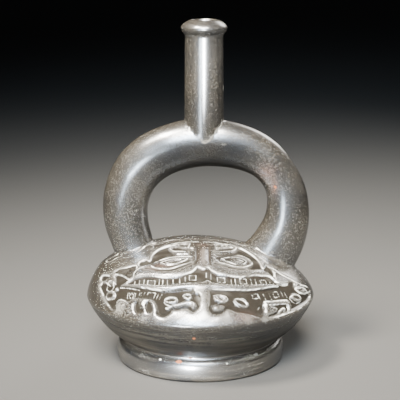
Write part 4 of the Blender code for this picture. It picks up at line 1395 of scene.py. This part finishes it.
class Sheet:
    """A material's node tree, written as expressions."""

    def __init__(self, name: str) -> None:
        """Make the material with its Principled shader.

        Args:
            name: The material's name.
        """
        self.material = bpy.data.materials.new(name)
        self.material.use_nodes = True
        self.nodes = self.material.node_tree.nodes
        self.links = self.material.node_tree.links
        self.shader = self.nodes["Principled BSDF"]

    def feed(self, socket: bpy.types.NodeSocket, value: Feed) -> None:
        """Link a wire to a socket, or set the socket's own value.

        Args:
            socket: The input.
            value: A wire, a number, or a vector or colour; a colour is opaque.
        """
        if isinstance(value, Wire):
            self.links.new(value.socket, socket)
        elif isinstance(value, (int, float)):
            socket.default_value = value
        else:
            size = len(socket.default_value)
            socket.default_value = (tuple(value) + (1.0,))[:size]

    def node(self, kind: str, output: Union[int, str], settings: dict[str, Any], *values: Feed,
             **named: Feed) -> Wire:
        """Add a node.

        Args:
            kind: The node's type.
            output: Which output to return.
            settings: Properties to set first.
            values: Values or wires for the inputs that it then has, in order.
            named: Values or wires for its inputs by name, with _ for a space.

        Returns:
            The chosen output.
        """
        added = self.nodes.new(kind)
        for key, value in settings.items():
            setattr(added, key, value)
        for socket, value in zip([each for each in added.inputs if each.enabled], values):
            self.feed(socket, value)
        for key, value in named.items():
            self.feed(added.inputs[key.replace("_", " ")], value)
        return Wire(self, added.outputs[output])

    def attribute(self, name: str) -> Wire:
        """Return a vertex attribute of the piece."""
        return self.node("ShaderNodeAttribute", "Fac", {"attribute_name": name})

    def place(self) -> Wire:
        """Return the Object coordinates."""
        return self.node("ShaderNodeTexCoord", "Object", {})

    def part(self, vector: Wire, axis: int) -> Wire:
        """Return a vector's x, y or z for an axis of 0, 1 or 2."""
        return self.node("ShaderNodeSeparateXYZ", axis, {}, vector)

    def noise(self, vector: Wire, scale: float, detail: float, roughness: float) -> Wire:
        """Return a noise from 0 to 1."""
        return self.node("ShaderNodeTexNoise", 0, {}, Vector=vector, Scale=scale, Detail=detail,
                         Roughness=roughness)

    def streaks(self, scale: Sequence[float], detail: float, roughness: float) -> Wire:
        """Return a noise from 0 to 1 on Object coordinates times the scale."""
        stretched = self.node("ShaderNodeMapping", 0, {}, Vector=self.place(), Scale=scale)
        return self.noise(stretched, 1.0, detail, roughness)

    def mix(self, share: Feed, first: Feed, second: Feed) -> Wire:
        """Return the first colour turning into the second."""
        return self.node("ShaderNodeMix", MIXED_COLOUR, {"data_type": "RGBA"}, share, first,
                         second)

    def bump(self, height: Wire, distance: float, strength: float) -> Wire:
        """Return a normal tilted by a height."""
        return self.node("ShaderNodeBump", 0, {}, Strength=strength, Distance=distance,
                         Height=height)

    def dress(self, **inputs: Feed) -> bpy.types.Material:
        """Feed the shader's sockets and finish the material.

        Args:
            inputs: Values or wires by the socket's name, with _ for a space.

        Returns:
            The material.
        """
        for key, value in inputs.items():
            self.feed(self.shader.inputs[key.replace("_", " ")], value)
        return self.material


@dataclass(frozen=True)
class Patch:
    """A worn or crusted spot: an ellipsoid that fades outwards."""

    place: Triple
    reach: Triple
    strength: float = 1.0

    def share(self, places: Array) -> Array:
        """Return strength * exp(-(scaled distance)^2) at each place."""
        scaled = (places - np.array(self.place)) / np.array(self.reach)
        return self.strength * np.exp(-np.sum(scaled * scaled, axis=1))


@dataclass(frozen=True)
class Weathering:
    """Where the surface is crusted, reddened, chipped or flecked with a pale speck."""

    crust: Sequence[Patch] = (
        Patch((-34.4, 4.0, 79.0), (9.0, 8.0, 3.5), 0.5),
        Patch((-55.0, 1.5, 75.5), (9.0, 8.0, 3.0), 0.55),
        Patch((44.5, -3.5, 72.0), (10.0, 9.0, 4.0), 0.55),
        Patch((56.0, -4.0, 67.0), (9.0, 9.0, 4.0), 0.55),
        Patch((-52.0, -54.0, 50.0), (8.0, 7.0, 6.0), 0.85),
        Patch((-45.0, -60.0, 49.0), (6.0, 5.0, 4.0), 0.5),
        Patch((7.6, -3.0, 152.0), (3.0, 5.0, 5.0), 0.45),
        Patch((13.0, 2.0, 158.5), (3.0, 6.0, 4.0), 0.5),
        Patch((14.5, -3.3, 147.5), (5.0, 4.0, 2.0), 0.6),
        Patch((-49.0, -3.1, 113.0), (2.5, 4.0, 14.0), 0.35),
        Patch((-45.0, -1.5, 101.0), (5.0, 5.0, 12.0), 0.5),
        Patch((-43.0, -0.5, 89.0), (5.0, 5.0, 9.0), 0.45),
        # The foot's patches are crust whose pale speckle is also painted glints on the foot and its
        # lower edge.
        Patch((34.0, -43.0, 14.0), (12.0, 7.0, 1.8), 0.65),
        Patch((-38.0, -41.0, 13.0), (12.0, 8.0, 2.0), 0.6),
        Patch((-10.0, -56.0, 4.0), (18.0, 5.0, 2.5), 0.5),
        Patch((-36.0, -43.0, 4.0), (12.0, 8.0, 3.0), 0.55),
        Patch((30.0, -48.0, 3.0), (14.0, 8.0, 2.0), 0.5),
        Patch((46.0, -62.0, 50.0), (7.0, 6.0, 5.0), 0.45),
        Patch((1.5, -68.0, 57.0), (4.0, 5.0, 5.0), 0.5),
    )
    redness: Sequence[Patch] = (
        Patch((44.5, 0.5, 127.5), (5.5, 5.0, 6.0), 0.75),
        Patch((49.5, 1.0, 119.5), (2.5, 4.0, 6.0), 0.8),
        Patch((2.3, -26.0, 78.0), (3.2, 14.0, 7.0), 0.35),
        Patch((2.0, -8.5, 81.0), (4.0, 4.0, 4.0), 0.35),
        Patch((28.0, -69.5, 49.0), (8.0, 5.0, 2.5), 0.45),
        Patch((-28.0, -36.0, 73.0), (9.0, 3.5, 4.0), 0.35),
    )
    chips: Sequence[Patch] = (
        Patch((-13.8, -53.7, 13.4), (2.6, 2.0, 1.1)),
        Patch((-4.0, -73.2, 36.5), (1.7, 1.5, 0.8), 0.9),
        Patch((-6.7, -52.5, 15.6), (2.6, 2.5, 0.9), 0.8),
        Patch((26.9, -70.3, 40.1), (1.8, 1.5, 0.8), 0.9),
        Patch((5.0, -72.0, 35.5), (0.9, 1.0, 0.5), 0.8),
        Patch((50.4, 0.8, 118.0), (0.8, 2.0, 3.6), 0.9),
    )
    specks: Sequence[Patch] = (
        Patch((-51.2, 1.6, 134.8), (0.7, 0.84, 0.7)),
        Patch((59.7, 8.7, 136.5), (0.63, 1.4, 0.98)),
        Patch((1.7, -61.5, 22.3), (0.56, 0.84, 0.49)),
        Patch((17.3, -53.7, 12.0), (0.63, 0.7, 0.63)),
        Patch((-6.5, 0.8, 197.8), (0.49, 0.63, 0.56)),
        Patch((11.7, 1.2, 211.1), (0.49, 0.63, 0.91)),
        Patch((15.2, 7.2, 183.7), (0.49, 0.63, 0.84)),
        Patch((14.2, 4.1, 167.9), (0.49, 0.63, 0.98)),
        Patch((-26.0, -49.0, 13.3), (1.26, 1.05, 0.84), 0.9),
        Patch((-20.2, -3.2, 143.4), (2.1, 1.05, 0.35), 0.6),
        Patch((-8.0, -3.2, 144.2), (4.2, 1.05, 0.28), 0.5),
        Patch((-33.5, -3.2, 137.2), (2.24, 1.05, 0.56), 0.6),
        Patch((46.8, 1.5, 146.7), (0.84, 1.05, 0.63), 0.6),
    )
    # Crust along the joins: none under joins_from, and over root_from, where the spout's root is,
    # one strength to the left and another to the right.
    join_crust: float = 0.5
    left_root_crust: float = 0.55
    right_root_crust: float = 0.85
    joins_from: float = 50.0
    root_from: float = 130.0

    def joins(self, places: Array, made: Array) -> Array:
        """Mark the joins: the vertices that the Booleans added.

        Args:
            places: The vertices' places.
            made: 1 at the vertices that the forms had before they were joined.

        Returns:
            The crust's strength at each vertex.
        """
        x, z = places[:, 0], places[:, 2]
        root = np.where(x > 0.0, self.right_root_crust, self.left_root_crust)
        strength = np.where(z > self.root_from, root, self.join_crust) * (z > self.joins_from)
        return strength * (made < 0.5)

    def mark(self, item: bpy.types.Object) -> None:
        """Write the four kinds of spot as vertex attributes, from the vertices' places.

        Args:
            item: The joined piece.
        """
        mesh = item.data
        count = len(mesh.vertices)
        flat = np.zeros(count * 3, np.float32)
        mesh.vertices.foreach_get("co", flat)
        places = flat.reshape(-1, 3) / MM
        made = np.zeros(count, np.float32)
        mesh.attributes["made"].data.foreach_get("value", made)
        for label in ("crust", "redness", "chips", "specks"):
            total = np.max([patch.share(places) for patch in getattr(self, label)], axis=0)
            if label == "crust":
                total = np.maximum(total, self.joins(places, made))
            write_mark(mesh, label, total)


@dataclass(frozen=True)
class BurnishedClay:
    """Dark reduction-fired clay, burnished to a satin sheen and worn."""

    body: Triple = (0.006, 0.0048, 0.0032)
    cool: Triple = (0.003, 0.003, 0.0032)
    brown: Triple = (0.055, 0.046, 0.034)
    ground: Triple = (0.0090, 0.0071, 0.0048)
    # Colour of the pale film: dust, and painted sheen on the carved forms.
    film: Triple = (0.140, 0.126, 0.104)
    deposit: Triple = (0.62, 0.58, 0.50)
    crust: Triple = (0.15, 0.135, 0.11)
    red: Triple = (0.075, 0.040, 0.028)
    chip: Triple = (0.24, 0.075, 0.03)
    roughness: float = 0.55
    index: float = 1.14
    gloss_roughness: float = 0.26
    gloss_index: float = 2.1
    bump_height: float = 0.00016
    bump_strength: float = 0.6
    # Noises as (scale, detail, roughness), and the burnisher's streaks as (scale along each axis).
    broad: Triple = (30.0, 4.0, 0.55)
    fine: Triple = (750.0, 5.0, 0.75)
    grit: Triple = (1500.0, 3.0, 0.6)
    grain: Triple = (900.0, 1.0, 0.5)
    upright_streaks: Triple = (520.0, 520.0, 28.0)
    level_streaks: Triple = (26.0, 26.0, 420.0)
    streak_detail: tuple[float, float] = (3.0, 0.6)
    # Heights in metres between which a share goes from 0 to 1: the streaks turn upright on the
    # spout, the lower wall has level ones, and the underside of the arch's top has painted shade.
    spout: tuple[float, float] = (0.150, 0.165)
    lower_wall: tuple[float, float] = (0.044, 0.040)
    arch_shade_top: tuple[float, float] = (0.1545, 0.1465)
    arch_shade_foot: tuple[float, float] = (0.110, 0.135)
    # The same for the arch's painted shade to each side, over the square of x.
    arch_shade_side: tuple[float, float] = (0.0022, 0.0004)
    # The same for how far a face looks down, for the painted shade under it, and for each share
    # of the finish.
    under_shade_cut: tuple[float, float] = (0.15, 0.75)
    cloud_cut: tuple[float, float] = (0.36, 0.66)
    brown_cut: tuple[float, float] = (0.40, 0.68)
    film_and_sheen_cut: tuple[float, float] = (0.10, 0.95)
    red_cut: tuple[float, float] = (0.2, 0.6)
    crust_cut: tuple[float, float] = (0.0, 0.25)
    fleck_cut: tuple[float, float] = (0.0, 0.05)
    line_cut: tuple[float, float] = (0.66, 0.84)
    speck_cut: tuple[float, float] = (0.4, 0.6)
    chip_cut: tuple[float, float] = (0.35, 0.6)
    scuff_cut: tuple[float, float] = (0.42, 0.68)
    # The most that each of these covers.
    brown_most: float = 0.8
    film_and_sheen_most: float = 0.85
    fleck_most: float = 0.45
    scuff_most: float = 0.48

    def material(self) -> bpy.types.Material:
        """Build the finish from Object coordinates and the vertex marks.

        The colour is laid in coats, each mixed over the last by its own share: body, brown wear,
        carved ground, film and painted sheen, redness, crust, pale deposit and chips; the brown is
        held back as painted shade on faces that look down and under the arch's top. The gloss is
        the coat's weight, less wherever the surface is worn, and less as painted shade on faces
        that look down and under the arch's top.

        Returns:
            The material.
        """
        sheet = Sheet("burnished_clay")
        place = sheet.place()
        marks = {name: sheet.attribute(name) for name in
                 ("pale", "ground", "film", "crust", "redness", "chips", "specks")}
        across, height = sheet.part(place, 0), sheet.part(place, 2)
        broad = sheet.noise(place, *self.broad)
        fine = sheet.noise(place, *self.fine)
        grit = sheet.noise(place, *self.grit)
        grain = sheet.noise(place, *self.grain)
        upright = sheet.streaks(self.upright_streaks, *self.streak_detail)
        level = sheet.streaks(self.level_streaks, *self.streak_detail)

        wall = height.over(*self.lower_wall)
        streaks = blend(height.over(*self.spout), fine, upright)
        streaks = blend(wall, streaks, level)
        # Painted shade: faces that look down, and the middle underside of the arch's top, lose
        # brown and gloss.
        facing = sheet.node("ShaderNodeNewGeometry", "Normal", {})
        under = (sheet.part(facing, 2) * -1.0).over(*self.under_shade_cut)
        arch_shade = (across * across).over(*self.arch_shade_side) * height.over(*self.arch_shade_top)
        arch_shade = arch_shade * height.over(*self.arch_shade_foot)

        # The mottle's three shares add up to 1. Each share below is a mark or a noise that is made
        # uneven by other noises and then cut.
        mottle = fine * (0.65 - wall * 0.35) + streaks * (0.20 + wall * 0.35) + broad * 0.15
        brown = mottle.over(*self.brown_cut) * (1.0 - under * 0.4) * (1.0 - arch_shade * 0.8)
        dark = (0.45 + fine * 0.9).held()
        # The pale film's share: dust, and painted sheen on the carved forms.
        film = (marks["film"] * (0.82 + fine * 0.36)).over(*self.film_and_sheen_cut)
        crust = (marks["crust"] * 0.50 + fine * 0.55 + grit * 0.7 - 0.86).over(*self.crust_cut)
        flecks = (marks["crust"] * 0.25 + broad * 0.2 + grit - 0.84).over(*self.fleck_cut)
        lines = (marks["pale"] + (fine - 0.5) * 0.2).over(*self.line_cut)
        shade = (0.7 + fine * 0.6).held() * (1.0 - marks["ground"] * 0.35)
        deposit = (lines * shade).most(marks["specks"].over(*self.speck_cut))
        chipped = marks["chips"].over(*self.chip_cut)

        colour = sheet.mix(broad.over(*self.cloud_cut), self.cool, self.body)
        colour = sheet.mix(brown * self.brown_most, colour, self.brown)
        colour = sheet.mix(marks["ground"] * dark, colour, self.ground)
        colour = sheet.mix(film * self.film_and_sheen_most, colour, self.film)
        colour = sheet.mix(marks["redness"] * fine.over(*self.red_cut), colour, self.red)
        crusted = crust.most(flecks * self.fleck_most).held()
        colour = sheet.mix(crusted, colour, self.crust)
        colour = sheet.mix(deposit.held(), colour, self.deposit)
        colour = sheet.mix(chipped, colour, self.chip)

        worn = marks["ground"].most(crust).most(lines * 0.7).most(chipped)
        scuffs = mottle.over(*self.scuff_cut) * self.scuff_most
        gloss = (1.0 - worn) * (1.0 - film * 0.5) * (1.0 - scuffs)
        # Less gloss, as painted shade, on faces that look down and under the arch's top.
        gloss = gloss * (1.0 - under * 0.75) * (1.0 - arch_shade * 0.6)
        rough = (fine - 0.5) * 0.2 + worn * 0.3 + self.roughness
        relief = grain * (0.10 + marks["ground"] * 0.25) + crust * (0.5 + grit * 1.2)
        normal = sheet.bump(relief - chipped * 3.0, self.bump_height, self.bump_strength)
        return sheet.dress(Base_Color=colour, Roughness=rough.held(), Normal=normal,
                           IOR=self.index, Coat_Weight=gloss.held(),
                           Coat_Roughness=self.gloss_roughness, Coat_IOR=self.gloss_index)


@dataclass
class Vessel:
    """The whole object: chamber, stirrup and spout joined into one hollow body."""

    chamber: Chamber = field(default_factory=Chamber)
    stirrup: Stirrup = field(default_factory=Stirrup)
    spout: Spout = field(default_factory=Spout)
    weathering: Weathering = field(default_factory=Weathering)
    clay: BurnishedClay = field(default_factory=BurnishedClay)

    def build(self) -> bpy.types.Object:
        """Join the blanks, cut the hollows and dress the one piece.

        Returns:
            The finished piece.
        """
        body = self.chamber.shape(self.stirrup)
        steps: list[tuple[bpy.types.Object, Join]] = [
            (self.stirrup.blank(), Join.UNION), (self.spout.blank(), Join.UNION),
            (self.chamber.hollow(), Join.DIFFERENCE), (self.stirrup.bore(), Join.DIFFERENCE),
            (self.spout.bore(), Join.DIFFERENCE)]
        for tool, join in steps:
            modifier = body.modifiers.new(tool.name, "BOOLEAN")
            modifier.object = tool
            modifier.operation = join.value
            modifier.solver = "MANIFOLD"
        mesh = bpy.data.meshes.new_from_object(
            body.evaluated_get(bpy.context.evaluated_depsgraph_get()))
        body.modifiers.clear()
        body.data = mesh
        for tool, _ in steps:
            bpy.data.objects.remove(tool, do_unlink=True)
        mesh.name = body.name
        mesh.polygons.foreach_set("use_smooth", np.ones(len(mesh.polygons), bool))
        self.weathering.mark(body)
        mesh.materials.clear()
        mesh.materials.append(self.clay.material())
        return body


def stand(name: str, data: bpy.types.Light, place: Sequence[float],
          away: Vector) -> bpy.types.Object:
    """Stand a lamp in the scene, hidden from the camera.

    Args:
        name: The lamp's name.
        data: Its light.
        place: Where it stands, in metres.
        away: The direction from its aim to it.

    Returns:
        The lamp.
    """
    lamp = bpy.data.objects.new(name, data)
    lamp.visible_camera = False
    lamp.location = place
    lamp.rotation_euler = away.to_track_quat("Z", "Y").to_euler()
    bpy.context.scene.collection.objects.link(lamp)
    return lamp


@dataclass(frozen=True)
class SoftLamp:
    """A soft oblong lamp, in metres, watts and degrees.

    It hangs at aim + (sin t cos e, -cos t cos e, sin e) * distance, with t its turn to the right of
    straight in front and e its elevation over the floor.
    """

    name: str
    turn: float
    elevation: float
    distance: float
    size: tuple[float, float]
    power: float
    colour: Triple
    spread: float = 40.0

    def hang(self, aim: Sequence[float]) -> None:
        """Make the lamp.

        Args:
            aim: Where it points.
        """
        data = bpy.data.lights.new(self.name, "AREA")
        data.shape = "RECTANGLE"
        data.size, data.size_y = self.size
        data.spread = math.radians(self.spread)
        data.energy = self.power
        data.color = self.colour
        turn, elevation = math.radians(self.turn), math.radians(self.elevation)
        away = Vector((math.sin(turn) * math.cos(elevation), -math.cos(turn) * math.cos(elevation),
                       math.sin(elevation))) * self.distance
        stand(self.name, data, Vector(aim) + away, away)


@dataclass(frozen=True)
class SpotLamp:
    """A soft-edged spot lamp, in metres, watts and degrees."""

    name: str
    place: Triple
    aim: Triple
    beam: float
    radius: float
    power: float
    colour: Triple = (0.93, 0.97, 1.0)
    softness: float = 0.9

    def hang(self) -> bpy.types.Object:
        """Make the lamp.

        Returns:
            The lamp.
        """
        data = bpy.data.lights.new(self.name, "SPOT")
        data.spot_size = math.radians(self.beam)
        data.spot_blend = self.softness
        data.shadow_soft_size = self.radius
        data.energy = self.power
        data.color = self.colour
        return stand(self.name, data, self.place, Vector(self.place) - Vector(self.aim))


@dataclass
class Studio:
    """The plain floor, the soft lamps and the camera, in metres."""

    floor_half: float = 15.0
    floor_colour: Triple = (0.046, 0.0435, 0.0395)
    floor_roughness: float = 0.8
    aim: Triple = (0.0, 0.0, 0.10)
    soft_lamps: Sequence[SoftLamp] = (
        SoftLamp("key", -6.0, 34.0, 1.6, (0.60, 0.46), 5.8, (0.68, 0.83, 1.0)),
        SoftLamp("upper", -2.0, 52.0, 1.5, (0.62, 0.46), 9.0, (1.0, 0.95, 0.86)),
        SoftLamp("overhead", -50.0, 59.0, 1.5, (0.40, 0.36), 7.5, (1.0, 0.94, 0.84)),
        SoftLamp("behind", 146.0, 30.0, 1.8, (1.1, 0.8), 2.2, (1.0, 0.97, 0.92)),
        SoftLamp("strip", -20.0, 2.0, 1.5, (0.22, 0.26), 1.0, (0.74, 0.87, 1.0)),
    )
    spot_lamps: Sequence[SpotLamp] = (
        SpotLamp("spout_front", (-0.03, -1.5, 0.03), (0.0025, 0.0, 0.2075), 2.6, 0.018, 560.0),
        SpotLamp("foot_front", (-0.34, -1.5, 0.035), (-0.01, 0.0, -0.022), 4.4, 0.04, 1500.0),
    )
    surround: Triple = (0.8, 0.85, 0.9)
    surround_strength: float = 0.02
    camera_place: Triple = (-0.0002, -0.8146, 0.2925)
    camera_dip: float = 12.69
    sensor: float = 36.0
    lens: float = 111.44
    camera_near: float = 0.05

    def floor(self) -> bpy.types.Object:
        """Lay the floor: one square in the XY plane.

        Returns:
            The floor.
        """
        half = self.floor_half / MM
        corners = np.array([(-half, -half, 0), (half, -half, 0), (half, half, 0),
                            (-half, half, 0)], float)
        item = mesh_piece("floor", corners, [(0, 1, 2, 3)])
        finish = Sheet("pale_floor").dress(Base_Color=self.floor_colour,
                                           Roughness=self.floor_roughness)
        item.data.materials.append(finish)
        return item

    def light(self) -> None:
        """Hang the soft lamps and set the faint light from all round."""
        for lamp in self.soft_lamps:
            lamp.hang(self.aim)
        world = bpy.data.worlds.new("studio")
        world.use_nodes = True
        background = world.node_tree.nodes["Background"]
        background.inputs["Color"].default_value = (*self.surround, 1.0)
        background.inputs["Strength"].default_value = self.surround_strength
        bpy.context.scene.world = world

    def spots(self, piece: bpy.types.Object) -> None:
        """Light the spout and the foot from low in front, leaving the floor out of both beams.

        Args:
            piece: What the two spots shine on.
        """
        lit = bpy.data.collections.new("lit_by_spots")
        lit.objects.link(piece)
        for lamp in self.spot_lamps:
            lamp.hang().light_linking.receiver_collection = lit

    def camera(self) -> None:
        """Place the camera in front of and above the vessel."""
        data = bpy.data.cameras.new("camera")
        data.sensor_width = self.sensor
        data.lens = self.lens
        data.clip_start = self.camera_near
        item = bpy.data.objects.new("camera", data)
        item.location = self.camera_place
        item.rotation_euler = (math.radians(90.0 - self.camera_dip), 0.0, 0.0)
        bpy.context.scene.collection.objects.link(item)
        bpy.context.scene.camera = item


def main() -> None:
    """Build the vessel and the studio in order, and report each piece."""
    logging.basicConfig(level=logging.INFO, format="%(name)s: %(message)s")
    studio = Studio()
    studio.camera()
    studio.light()
    floor = studio.floor()
    LOG.info("floor laid")
    piece = Vessel().build()
    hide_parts(NODE)
    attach(piece, BODY)
    studio.spots(piece)
    LOG.info("%s: %d vertices, %d faces", piece.name, len(piece.data.vertices),
             len(piece.data.polygons))


if __name__ == "__main__":
    main()
